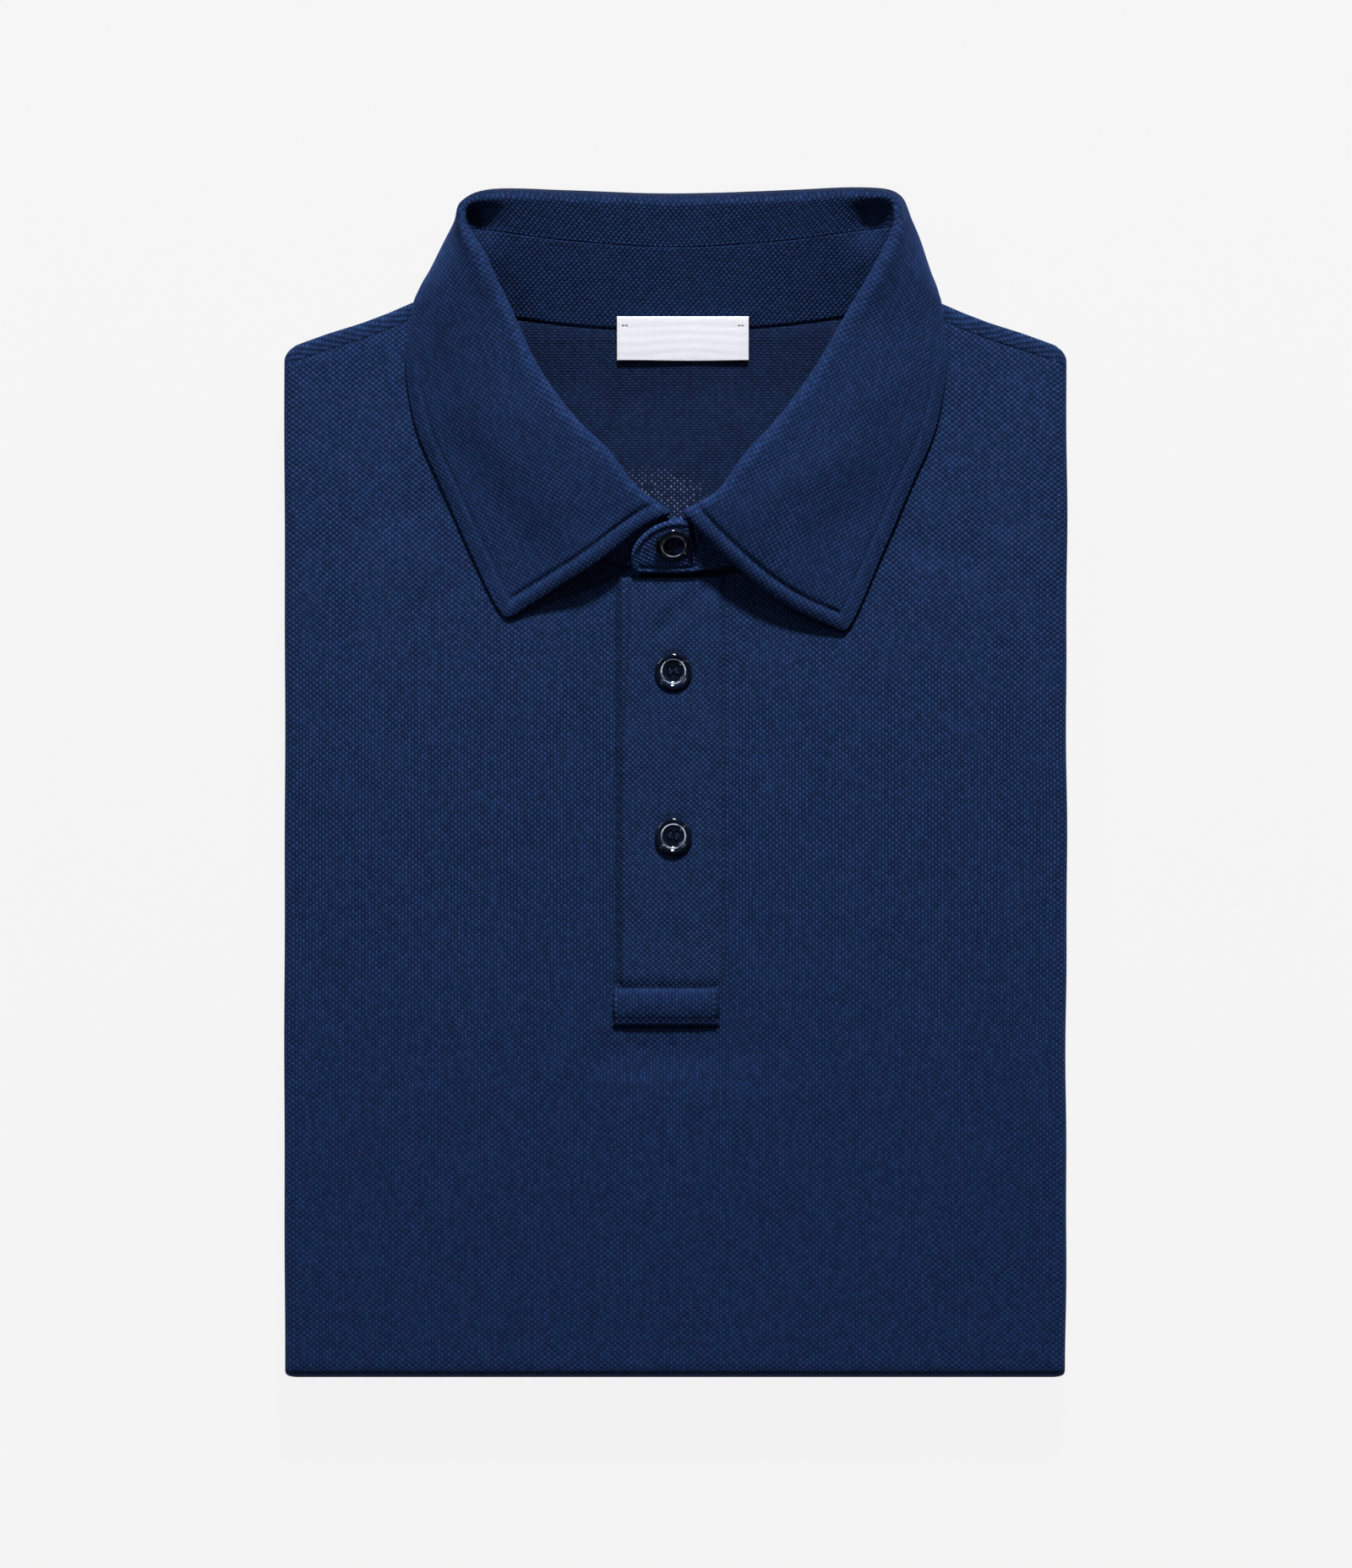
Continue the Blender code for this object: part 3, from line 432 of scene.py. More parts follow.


# Finish of the knit.  The wander of its loops is in metres.  From the first to the second place along the
# body cloth, towards its bottom, columns show more and loops and gaps come closer in colour, under a darker
# tint that is painted shade.
KNIT_SHADER = {"Roughness": 0.95, "Sheen Weight": 0.22, "Sheen Roughness": 0.5,
               "Sheen Tint": (0.05, 0.11, 0.35, 1.0), "Specular IOR Level": 0.06}
LOOP_WANDER = 0.00055
DYE_UNEVEN = 0.12
LOWER_BODY_BETWEEN = (0.11, -0.16)
LOWER_BODY_COLUMNS, LOWER_BODY_EVENNESS = 1.5, 0.64
LOWER_BODY_PAINTED_SHADE = (0.80, 0.88, 0.97, 1.0)
# Where the pale specks show on the wrong side, inside the neck, in metres
SPECK_X, SPECK_Y = -0.006, 0.096
SPECK_REACH_X, SPECK_REACH_Y = 0.017, 0.011


def knit_material(name, loop, between, wale, course, relief, lean=0.0, rows=0.0, bead=0.4, columns=0.0,
                  speck=None, lower_body_amount=0.0):
    """Pique cloth: raised loops, darker between, slightly uneven from loop to loop."""
    known = bpy.data.materials.get(name)
    if known:
        return known
    material, tree, shader = new_material(name, KNIT_SHADER)
    where = put(tree, "ShaderNodeUVMap", uv_map="cloth").outputs["UV"]
    knit = put(tree, "ShaderNodeGroup", {"Vector": where, "Wale": wale, "Course": course, "Lean": lean,
                                         "Rows": rows, "Bead": bead, "Uneven": LOOP_WANDER},
               node_tree=knit_group())
    dye = put(tree, "ShaderNodeGroup", {"Vector": where, "Amount": DYE_UNEVEN}, node_tree=dye_group())
    each = calc("MULTIPLY_ADD", knit.outputs["Tone"], 0.44, 0.78)
    factor = calc("MULTIPLY", each, dye.outputs["Factor"])
    # Painted light and shade, read from each piece's per-point attribute
    painted_shading = put(tree, "ShaderNodeAttribute", attribute_name="painted_shading").outputs["Fac"]
    factor = calc("MULTIPLY", factor, painted_shading)
    grey = put(tree, "ShaderNodeCombineColor", {0: factor, 1: factor, 2: factor})
    hue = put(tree, "ShaderNodeTexNoise", {"Vector": where, "Scale": 150.0, "Detail": 3.0})
    cast = blend_colours(tree, smooth_step(hue.outputs["Fac"], 0.32, 0.68),
                         (0.86 * loop[0], 1.03 * loop[1], 0.99 * loop[2], 1.0),
                         (1.14 * loop[0], 0.97 * loop[1], 1.01 * loop[2], 1.0))
    # Towards the bottom of the body cloth; the darker tint there is painted shade
    lower_body = smooth_step(put(tree, "ShaderNodeSeparateXYZ", {0: where}).outputs[1], *LOWER_BODY_BETWEEN)
    lower_body = calc("MULTIPLY", lower_body, lower_body_amount)
    tree.links.new(calc("MULTIPLY_ADD", lower_body, LOWER_BODY_COLUMNS, columns), knit.inputs["Columns"])
    level = calc("MULTIPLY", calc("SUBTRACT", 0.47, knit.outputs["Loop"]), lower_body)
    level = calc("MULTIPLY_ADD", level, LOWER_BODY_EVENNESS, knit.outputs["Loop"])
    colour = blend_colours(tree, level, (*between, 1.0), cast)
    colour = blend_colours(tree, 1.0, colour, grey.outputs[0], "MULTIPLY")
    colour = blend_colours(tree, lower_body, colour,
                           blend_colours(tree, 1.0, colour, LOWER_BODY_PAINTED_SHADE, "MULTIPLY"))
    if speck:
        place = put(tree, "ShaderNodeTexCoord").outputs["Object"]
        split = put(tree, "ShaderNodeSeparateXYZ", {0: place})
        aside = calc("DIVIDE", calc("SUBTRACT", split.outputs[0], SPECK_X), SPECK_REACH_X)
        ahead = calc("DIVIDE", calc("SUBTRACT", split.outputs[1], SPECK_Y), SPECK_REACH_Y)
        near = calc("ADD", calc("POWER", aside, 2.0), calc("POWER", ahead, 2.0))
        reach = smooth_step(near, 1.5, 0.2)
        show = calc("MULTIPLY", reach, smooth_step(knit.outputs["Dot"], 0.55, 0.9))
        show = calc("MULTIPLY", show, calc("MULTIPLY", knit.outputs["Tone"], 0.85))
        colour = blend_colours(tree, show, colour, (*speck, 1.0))
    bump = put(tree, "ShaderNodeBump", {"Height": knit.outputs["Height"], "Distance": relief,
                                        "Strength": 0.75})
    feed(tree, shader.inputs, {"Base Color": colour, "Normal": bump.outputs[0]})
    return material


def face_material(context):
    """The right side of the body cloth."""
    cloth = context.scene.polo_cloth
    return knit_material("pique_face", cloth.loop, cloth.between, cloth.wale, cloth.course, cloth.relief,
                         columns=0.1, lower_body_amount=1.0)


def collar_material(context):
    """The collar leaf's cloth, the same knit drawn closer by its interfacing."""
    cloth = context.scene.polo_cloth
    loop = [share * part for share, part in zip((0.87, 0.88, 0.93), cloth.loop)]
    between = [1.1 * part for part in cloth.between]
    return knit_material("collar_face", loop, between, cloth.wale * 0.83, cloth.course * 1.02,
                         cloth.relief * 0.55, bead=0.0)


def neck_material(context, lean):
    """The stand's cloth and the fall's inner strip: the knit pulled aslant as it goes round the neck."""
    cloth = context.scene.polo_cloth
    loop = [0.99 * part for part in cloth.loop]
    return knit_material("neck_right" if lean > 0 else "neck_left", loop, cloth.between, cloth.wale * 0.96,
                         cloth.course * 0.97, cloth.relief, lean=lean, bead=0.3)


def placket_material(context):
    """The placket's cloth, whose columns stand closer."""
    cloth = context.scene.polo_cloth
    return knit_material("placket_face", cloth.loop, cloth.between, cloth.wale * 0.88, cloth.course,
                         cloth.relief, rows=0.12, columns=0.25)


def inside_material(context):
    """The wrong side of the body cloth, finer and flatter."""
    cloth = context.scene.polo_cloth
    return knit_material("pique_wrong_side", cloth.inside, [0.38 * part for part in cloth.inside],
                         cloth.inside_wale, cloth.inside_course, cloth.relief * 0.5,
                         rows=0.65, bead=0.45, speck=(0.12, 0.14, 0.19))


def thread_material(context):
    """Sewing thread with a slight gloss and a twist."""
    known = bpy.data.materials.get("sewing_thread")
    if known:
        return known
    material, tree, shader = new_material("sewing_thread", {"Roughness": 0.8, "Specular IOR Level": 0.1})
    place = put(tree, "ShaderNodeTexCoord").outputs["Object"]
    noise = put(tree, "ShaderNodeTexNoise", {"Vector": place, "Scale": 3000.0, "Detail": 1.0})
    colour = context.scene.polo_sewing.colour
    dark = [0.55 * part for part in colour]
    mixed = blend_colours(tree, noise.outputs["Fac"], (*dark, 1.0), (*colour, 1.0))
    bump = put(tree, "ShaderNodeBump", {"Height": noise.outputs["Fac"], "Distance": 0.0001,
                                        "Strength": 0.5})
    feed(tree, shader.inputs, {"Base Color": mixed, "Normal": bump.outputs[0]})
    return material


def button_material(context):
    """Polished button resin with faint clouding."""
    known = bpy.data.materials.get("button_resin")
    if known:
        return known
    material, tree, shader = new_material("button_resin", {"IOR": 1.5, "Specular IOR Level": 0.2,
                                                           "Coat Weight": 0.6, "Coat Roughness": 0.03})
    place = put(tree, "ShaderNodeTexCoord").outputs["Object"]
    cloud = put(tree, "ShaderNodeTexNoise", {"Vector": place, "Scale": 190.0, "Detail": 3.0,
                                             "Distortion": 1.2})
    colour = context.scene.polo_buttons.colour
    light = (colour[0] * 1.6, colour[1] * 1.9, colour[2] * 2.2)
    share = smooth_step(cloud.outputs["Fac"], 0.42, 0.75)
    scuff = put(tree, "ShaderNodeTexNoise", {"Vector": place, "Scale": 500.0, "Detail": 2.0})
    feed(tree, shader.inputs, {"Base Color": blend_colours(tree, share, (*colour, 1.0), (*light, 1.0)),
                               "Roughness": calc("MULTIPLY_ADD", scuff.outputs["Fac"], 0.08, 0.05)})
    return material


def ridge_highlight_material():
    """The button's inner ridge, painted pale in broken patches: a painted highlight."""
    known = bpy.data.materials.get("button_ridge_painted_highlight")
    if known:
        return known
    material, tree, shader = new_material("button_ridge_painted_highlight", {"Roughness": 0.12, "IOR": 1.56, "Coat Weight": 0.6,
                                                           "Coat Roughness": 0.04})
    place = put(tree, "ShaderNodeTexCoord").outputs["Object"]
    highlight_patches = put(tree, "ShaderNodeTexNoise", {"Vector": place, "Scale": 230.0, "Detail": 2.0})
    share = smooth_step(highlight_patches.outputs["Fac"], 0.44, 0.60)
    tree.links.new(blend_colours(tree, share, (0.05, 0.07, 0.12, 1.0), (0.36, 0.45, 0.60, 1.0)),
                   shader.inputs["Base Color"])
    return material


def label_material():
    """White woven satin."""
    known = bpy.data.materials.get("label_satin")
    if known:
        return known
    material, tree, shader = new_material("label_satin", {"Roughness": 0.55})
    where = put(tree, "ShaderNodeUVMap", uv_map="cloth").outputs["UV"]
    split = put(tree, "ShaderNodeSeparateXYZ", {0: where})
    weft = calc("SINE", calc("MULTIPLY", split.outputs[1], 2 * math.pi / 0.00032))
    warp = calc("SINE", calc("MULTIPLY", split.outputs[0], 2 * math.pi / 0.00026))
    weave = calc("MULTIPLY_ADD", warp, 0.35, weft)
    soft = put(tree, "ShaderNodeTexNoise", {"Vector": where, "Scale": 160.0, "Detail": 2.0})
    tone = calc("ADD", calc("MULTIPLY", weave, 0.02),
                calc("MULTIPLY_ADD", soft.outputs["Fac"], 0.03, 0.955))
    tint = put(tree, "ShaderNodeCombineColor", {0: calc("MULTIPLY", tone, 0.90),
                                                1: calc("MULTIPLY", tone, 0.93), 2: tone})
    bump = put(tree, "ShaderNodeBump", {"Height": weave, "Distance": 0.00005, "Strength": 0.5})
    feed(tree, shader.inputs, {"Base Color": tint.outputs[0], "Normal": bump.outputs[0]})
    return material


# ------------------------------------------------------------------ shapes

def unit(vectors):
    """Vectors of length one."""
    return vectors / np.maximum(np.linalg.norm(vectors, axis=-1, keepdims=True), 1e-9)


def sheet_normals(grid):
    """Normals of a sheet given as rows of points."""
    return unit(np.cross(np.gradient(grid, axis=1), np.gradient(grid, axis=0)))


def spread(knots, step):
    """The knots, with even places between them no further apart than the step."""
    places = [knots[0]]
    for start, end in zip(knots[:-1], knots[1:]):
        count = max(1, math.ceil(abs(end - start) / step - 1e-6))
        places += [start + (end - start) * index / count for index in range(1, count + 1)]
    return np.array(places)


def curve_point(before, start, end, after, t):
    """A point between start and end on a Catmull-Rom curve."""
    return 0.5 * (2 * start + (end - before) * t
                  + (2 * before - 5 * start + 4 * end - after) * t ** 2
                  + (3 * start - before - 3 * end + after) * t ** 3)


def curve_rows(rows, places):
    """Catmull-Rom curves through rows of points, read at the given places along them."""
    rows = np.asarray(rows, dtype=float)
    padded = np.concatenate([2 * rows[:1] - rows[1:2], rows, 2 * rows[-1:] - rows[-2:-1]])
    result = []
    for place in places:
        index = min(int(place), len(rows) - 2)
        result.append(curve_point(*padded[index:index + 4], place - index))
    return np.array(result)


def path_lengths(line):
    """Length along a line of points, at each point."""
    steps = np.linalg.norm(np.diff(line, axis=0), axis=1)
    return np.concatenate([[0.0], np.cumsum(steps)])


def grid_lengths(grid, axis):
    """Length along the lines of a grid, at each point."""
    steps = np.linalg.norm(np.diff(grid, axis=axis), axis=2)
    start = np.zeros_like(np.take(steps, [0], axis=axis))
    return np.concatenate([start, np.cumsum(steps, axis=axis)], axis=axis)


def grid_rim(grid):
    """Distance from each point of a grid to its nearest border, along the grid's own lines."""
    down, across = grid_lengths(grid, 0), grid_lengths(grid, 1)
    return np.minimum.reduce([down, down[-1:] - down, across, across[:, -1:] - across])


def line_distance(points, line):
    """Distance from points to a line of points."""
    flat = points.reshape(-1, 3)
    best = np.full(len(flat), 1e9)
    for start, end in zip(line[:-1], line[1:]):
        way = end - start
        share = clamp((flat - start) @ way / max(way @ way, 1e-12))
        best = np.minimum(best, np.sum((flat - start - share[:, None] * way) ** 2, axis=1))
    return np.sqrt(best).reshape(points.shape[:-1])


def clamp(share):
    """A share held between 0 and 1."""
    return np.clip(share, 0.0, 1.0)


def rounded(distance, radius):
    """Share of the thickness at a distance from a free edge."""
    inward = 1.0 - clamp(distance / radius)
    return np.sqrt(1.0 - inward ** 2)


def eased(share):
    """A share held between 0 and 1, with soft ends."""
    share = clamp(share)
    return share * share * (3.0 - 2.0 * share)


def bell(distance, width):
    """A smooth hump, 1 in the middle."""
    return np.exp(-(distance / width) ** 2)


def creased(x, y, creases):
    """Height of soft creases at points of a flat cloth."""
    total = np.zeros_like(x)
    for crease in creases:
        way = np.array([crease.x1 - crease.x0, crease.y1 - crease.y0])
        share = ((x - crease.x0) * way[0] + (y - crease.y0) * way[1]) / (way @ way)
        held = clamp(share)
        away = np.hypot(x - crease.x0 - held * way[0], y - crease.y0 - held * way[1])
        swell = 1.0 + 0.25 * np.sin(5.0 * share + crease.reach)
        total = total + crease.height * swell * bell(away, crease.reach)
    return total


def uneven(x, y):
    """Slight unevenness of cloth that lies flat."""
    broad = np.sin(x / 21.0 + 1.4 * np.sin(y / 33.0)) + np.sin(y / 26.0 + 1.7 * np.sin(x / 29.0) + 0.6)
    fine = np.sin((x + 0.6 * y) / 5.3 + 2.0 * np.sin(y / 17.0)) * np.sin((y - 0.4 * x) / 6.1 + 1.1)
    return 0.09 * broad + 0.035 * fine


def closed_sheet(name, outer, inner, uv, materials, facing=1, patch=None, painted_shading=None):
    """A closed mesh from two grids of points in millimetres that share their border.

    Its second material is on the patch of its outer face, or else on its inner face.  The painted shading is
    painted
    light and shade: it multiplies the cloth's colour at each point of the outer face."""
    rows, columns = outer.shape[:2]
    top = np.arange(rows * columns).reshape(rows, columns)
    under = top.copy()
    under[1:-1, 1:-1] = rows * columns + np.arange((rows - 2) * (columns - 2)).reshape(rows - 2, -1)
    vertices = np.concatenate([outer.reshape(-1, 3), inner[1:-1, 1:-1].reshape(-1, 3)]) * MM
    corners = np.concatenate([uv.reshape(-1, 2), uv[1:-1, 1:-1].reshape(-1, 2)]) * MM
    quads = []
    for index, turned in ((top, facing < 0), (under, facing > 0)):
        ring = [index[:-1, :-1], index[:-1, 1:], index[1:, 1:], index[1:, :-1]]
        if turned:
            ring.reverse()
        quads.append(np.stack(ring, axis=-1).reshape(-1, 4))
    faces = np.concatenate(quads)
    mesh = bpy.data.meshes.new(name)
    mesh.from_pydata(vertices.tolist(), [], faces.tolist())
    layer = mesh.uv_layers.new(name="cloth")
    layer.data.foreach_set("uv", corners[faces.reshape(-1)].astype(np.float32).reshape(-1))
    kept = mesh.attributes.new("painted_shading", "FLOAT", "POINT")
    values = np.ones(len(vertices), dtype=np.float32)
    if painted_shading is not None:
        values[:rows * columns] = painted_shading.reshape(-1)
    kept.data.foreach_set("value", values)
    for material in materials:
        mesh.materials.append(material)
    if len(materials) > 1:
        sides = np.repeat([0, 1 if patch is None else 0], [len(quads[0]), len(quads[1])]).astype(np.int32)
        if patch is not None:
            sides[:len(quads[0])] = patch.reshape(-1)
        mesh.polygons.foreach_set("material_index", sides)
    mesh.shade_smooth()
    return finished(name, mesh)


def finished(name, mesh):
    """A new object in the scene."""
    piece = bpy.data.objects.new(name, mesh)
    bpy.context.scene.collection.objects.link(piece)
    return piece


def stand_in(piece, node):
    """The piece rides on the shirt, and stands for the solid of its node, which is hidden."""
    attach(piece, "root")
    if node:
        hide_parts(node)
    return piece


def wall(name, grid, uv, thickness, materials, facing=1, relief=None, rim=None, patch=None, painted_shading=None,
         radius=None):
    """A closed sheet round a grid of middle points, with rounded edges and relief on its outer face."""
    normals = sheet_normals(grid) * facing
    rim = grid_rim(grid) if rim is None else rim
    half = thickness / 2 * rounded(rim, np.maximum(thickness / 2, 0.3) if radius is None else radius)
    raised = half if relief is None else half + relief * rounded(rim, 1.0)
    outer = grid + normals * raised[..., None]
    inner = grid - normals * half[..., None]
    piece = closed_sheet(name, outer, inner, uv, materials, facing, patch, painted_shading)
    return piece, outer, normals


# ------------------------------------------------------------------ sewing

def stitch_tree():
    """Stitches along a path: thread lying along it, or turned across it."""
    known = bpy.data.node_groups.get("Stitch Row")
    if known:
        return known
    tree, given, out = new_group(
        "Stitch Row", "GeometryNodeTree",
        (("Geometry", "Geometry", None), ("Stitch", "Float", 0.0022), ("Gap", "Float", 0.0006),
         ("Thread", "Float", 0.0003), ("Turn", "Float", 0.0), ("Facing", "Vector", (0, 0, 1)),
         ("Spacing", "Float", 0.0028), ("Seed", "Int", 3), ("Finish", "Material", None)),
        (("Geometry", "Geometry"),))
    even = put(tree, "GeometryNodeResampleCurve", {"Curve": given["Geometry"], "Length": given["Spacing"]},
               mode="LENGTH")
    seed = put(tree, "GeometryNodeMeshUVSphere", {"Segments": 6, "Rings": 6, "Radius": 1.0})
    half_thread = calc("MULTIPLY", given["Thread"], 0.5)
    half_stitch = calc("MULTIPLY", given["Stitch"], 0.5)
    size = put(tree, "ShaderNodeCombineXYZ", {0: half_thread, 1: half_thread, 2: half_stitch})
    shaped = put(tree, "GeometryNodeTransform", {"Geometry": seed.outputs["Mesh"], "Scale": size.outputs[0]})
    smooth = put(tree, "GeometryNodeSetShadeSmooth", {"Geometry": shaped.outputs["Geometry"]})
    tangent = put(tree, "GeometryNodeInputTangent")
    turned = put(tree, "ShaderNodeVectorRotate", {"Vector": tangent.outputs[0], "Axis": given["Facing"],
                                                  "Angle": given["Turn"]}, rotation_type="AXIS_ANGLE")
    wobble = put(tree, "FunctionNodeRandomValue",
                 {"Seed": given["Seed"], "Min": (-0.07,) * 3, "Max": (0.07,) * 3}, data_type="FLOAT_VECTOR")
    way = put(tree, "ShaderNodeVectorMath", {0: turned.outputs[0], 1: wobble.outputs["Value"]},
              operation="ADD")
    aim = put(tree, "FunctionNodeAlignRotationToVector", {"Vector": way.outputs[0]}, axis="Z")
    laid = put(tree, "GeometryNodeInstanceOnPoints", {"Points": even.outputs["Curve"],
                                                      "Instance": smooth.outputs["Geometry"],
                                                      "Rotation": aim.outputs["Rotation"]})
    real = put(tree, "GeometryNodeRealizeInstances", {"Geometry": laid.outputs["Instances"]})
    final = put(tree, "GeometryNodeSetMaterial", {"Geometry": real.outputs["Geometry"],
                                                  "Material": given["Finish"]})
    tree.links.new(final.outputs["Geometry"], out["Geometry"])
    return tree


def sew(context, name, lines, across=False, stitch=None, spacing=None, thread=None):
    """A piece made of stitches along lines of points in millimetres."""
    sizes = context.scene.polo_sewing
    curve = bpy.data.curves.new(name + "_path", "CURVE")
    curve.dimensions = "3D"
    for line in lines:
        spline = curve.splines.new("POLY")
        spline.points.add(len(line) - 1)
        for point, place in zip(spline.points, line):
            point.co = (*(np.asarray(place) * MM), 1.0)
    path = finished(name + "_path", curve)
    rows = path.modifiers.new("stitches", "NODES")
    rows.node_group = stitch_tree()
    length = stitch or sizes.stitch
    values = {"Stitch": length, "Gap": sizes.gap, "Thread": thread or sizes.thread,
              "Turn": math.pi / 2 if across else 0.0, "Facing": (0.0, 0.0, 1.0),
              "Spacing": spacing or length + sizes.gap, "Finish": thread_material(context)}
    for socket in rows.node_group.interface.items_tree:
        if socket.in_out == "INPUT" and socket.name in values:
            rows[socket.identifier] = values[socket.name]
    context.view_layer.update()
    mesh = bpy.data.meshes.new_from_object(path.evaluated_get(context.evaluated_depsgraph_get()))
    path.modifiers.remove(rows)
    bpy.data.objects.remove(path)
    mesh.name = name
    return stand_in(finished(name, mesh), None)


# ------------------------------------------------------------------ front, back and layers

def shoulder_line(x):
    """Where the shoulder's fold lies."""
    return np.interp(np.abs(x), SHOULDER_X, SHOULDER_Y)


def round_side(grid):
    """Bends what lies beyond the side folds down round them."""
    turn = (HALF_STACK - CLOTH) / 2
    centre_x, centre_z = HALF_WIDTH - CLOTH / 2 - turn, STACK - CLOTH / 2 - turn
    angle = np.maximum(np.abs(grid[..., 0]) - centre_x, 0.0) / turn
    reach = np.maximum(grid[..., 2] - centre_z, 0.6)
    x = np.sign(grid[..., 0]) * (centre_x + reach * np.sin(angle))
    z = centre_z + reach * np.cos(angle)
    bent = angle > 0.0
    return np.stack([np.where(bent, x, grid[..., 0]), grid[..., 1], np.where(bent, z, grid[..., 2])], axis=-1)


def front_upper_edge(x):
    """Upper edge of the front: its neckline, then its shoulder seam."""
    seam = shoulder_line(x) - SHOULDER_SEAM + 0.2
    seam_start = float(shoulder_line(SHOULDER_X[0])) - SHOULDER_SEAM + 0.2
    neck = np.interp(np.abs(x), NECKLINE_X + (SHOULDER_X[0],), NECKLINE_Y + (seam_start,))
    return np.where(np.abs(x) >= SHOULDER_X[0], seam, neck)


def laid_rows(x, across, rows):
    """Points of a sheet, and their flat places, from each row's y, height and length along the cloth."""
    y, z, along = (np.array([np.broadcast_to(row[part], x.shape) for row in rows]) for part in range(3))
    x, across = (np.broadcast_to(places, y.shape) for places in (x, across))
    return np.stack([x, y, z], axis=-1), np.stack([across, along], axis=-1)


def side_wave(y, side):
    """How far a side fold lies in from its straight line."""
    if side > 0:
        return 0.35 + 0.35 * clamp(-y / 200.0) + 0.18 * np.sin(y / 19.0) + 0.1 * np.sin(y / 8.3)
    return 0.12 + 0.12 * np.sin(y / 37.0 + 1.0) + 0.06 * np.sin(y / 11.0)


def wave_sides(grid):
    """Draws the side folds in along their waves."""
    x = grid[..., 0].copy()
    for side in (-1, 1):
        beyond = clamp((side * x - WAVE_FROM_X) / WAVE_REACH)
        grid[..., 0] -= side * beyond * side_wave(grid[..., 1], side)


def edge_at_corner(columns):
    """Upper edge of the columns that roll round the side; elsewhere out of the way."""
    return np.where(columns[:, 1] > 0.0, columns[:, 3], HEM_Y + 1.0)


def front_grid():
    """Middle points of the front, and their places on the flat cloth."""
    turn = (HALF_STACK - CLOTH) / 2
    centre_x = HALF_WIDTH - CLOTH / 2 - turn
    flat = spread((0.0, 12.0, 20.5, 35.3, 51.5, 65.6, 75.2, 78.0, 79.0, 80.0, 97.0, centre_x), 2.7)
    half = [(x, 0.0, x, float(front_upper_edge(x))) for x in flat]
    steps = 14
    for step in range(1, steps + 1):
        angle = math.pi * step / steps
        depth = turn * (1 - math.cos(angle))
        half.append((centre_x + turn * math.sin(angle), depth, centre_x + turn * angle,
                     float(front_upper_edge(centre_x + turn * angle))))
    for back in (5.0, 10.0, 15.0, 18.0, 19.2, 19.8, RETURN):
        half.append((centre_x - back, 2 * turn, centre_x + turn * math.pi + back,
                     half[-1][3] - 2.0 * RETURN_SLOPE))
    half = np.array(half)
    columns = np.concatenate([half[:0:-1] * np.array([-1.0, 1.0, -1.0, 1.0]), half])
    x, depth, across, edge = columns.T

    top = STACK - CLOTH / 2 - depth
    rows = [(edge - inward, top, edge - inward) for inward in RIM + (2.2, 3.2, 4.5)]
    for share in np.linspace(0.0, 1.0, 37)[1:]:
        y = (edge - 4.5) * (1 - share) + NECK_MARGIN_Y * share
        rows.append((y, top, y))
    radius = (STACK - CLOTH) / 2
    fold_y = BOTTOM_Y + CLOTH / 2 + BOTTOM_ROLL
    rows += [(y, top, y) for y in spread((NECK_MARGIN_Y, fold_y), 2.6)[1:]]
    turns = 18
    for step in range(1, turns + 1):
        angle = math.pi / 2 + math.pi * step / turns
        outward = radius - depth
        rows.append((fold_y + BOTTOM_ROLL * outward / radius * math.cos(angle),
                     STACK / 2 + outward * math.sin(angle), fold_y - radius * math.pi * step / turns))
    under = spread((fold_y, 100.0), 6.0)[1:].tolist() + spread((100.0, 122.0), 2.0)[1:].tolist()
    under += spread((122.0, 130.0), 0.5)[1:].tolist() + spread((130.0, HEM_Y - 1.8), 1.8)[1:].tolist()
    under += [HEM_Y - inward for inward in reversed(RIM)]
    hem = np.minimum(HEM_Y, edge_at_corner(columns) - 0.8)
    for y in under:
        beyond = max(y - 100.0, 0.0) / (HEM_Y - 100.0)
        rows.append((y - (HEM_Y - hem) * beyond, CLOTH / 2 + depth, fold_y - radius * math.pi - (y - fold_y)))
    return laid_rows(x, across, rows)


def front_top(x, y):
    """Height of the front's upper face, with its soft hollow and creases."""
    reach = ((x - HOLLOW_X) / HOLLOW_REACH_X) ** 2 + ((y - HOLLOW_Y) / HOLLOW_REACH_Y) ** 2
    side = clamp((HALF_WIDTH - 6.0 - np.abs(x)) / 14.0)
    end = clamp((y - BOTTOM_Y - 8.0) / 14.0)
    soft = (creased(x, y, FRONT_CREASES) + uneven(x, y)) * side * end
    return STACK - HOLLOW_DEPTH * np.exp(-reach) + soft


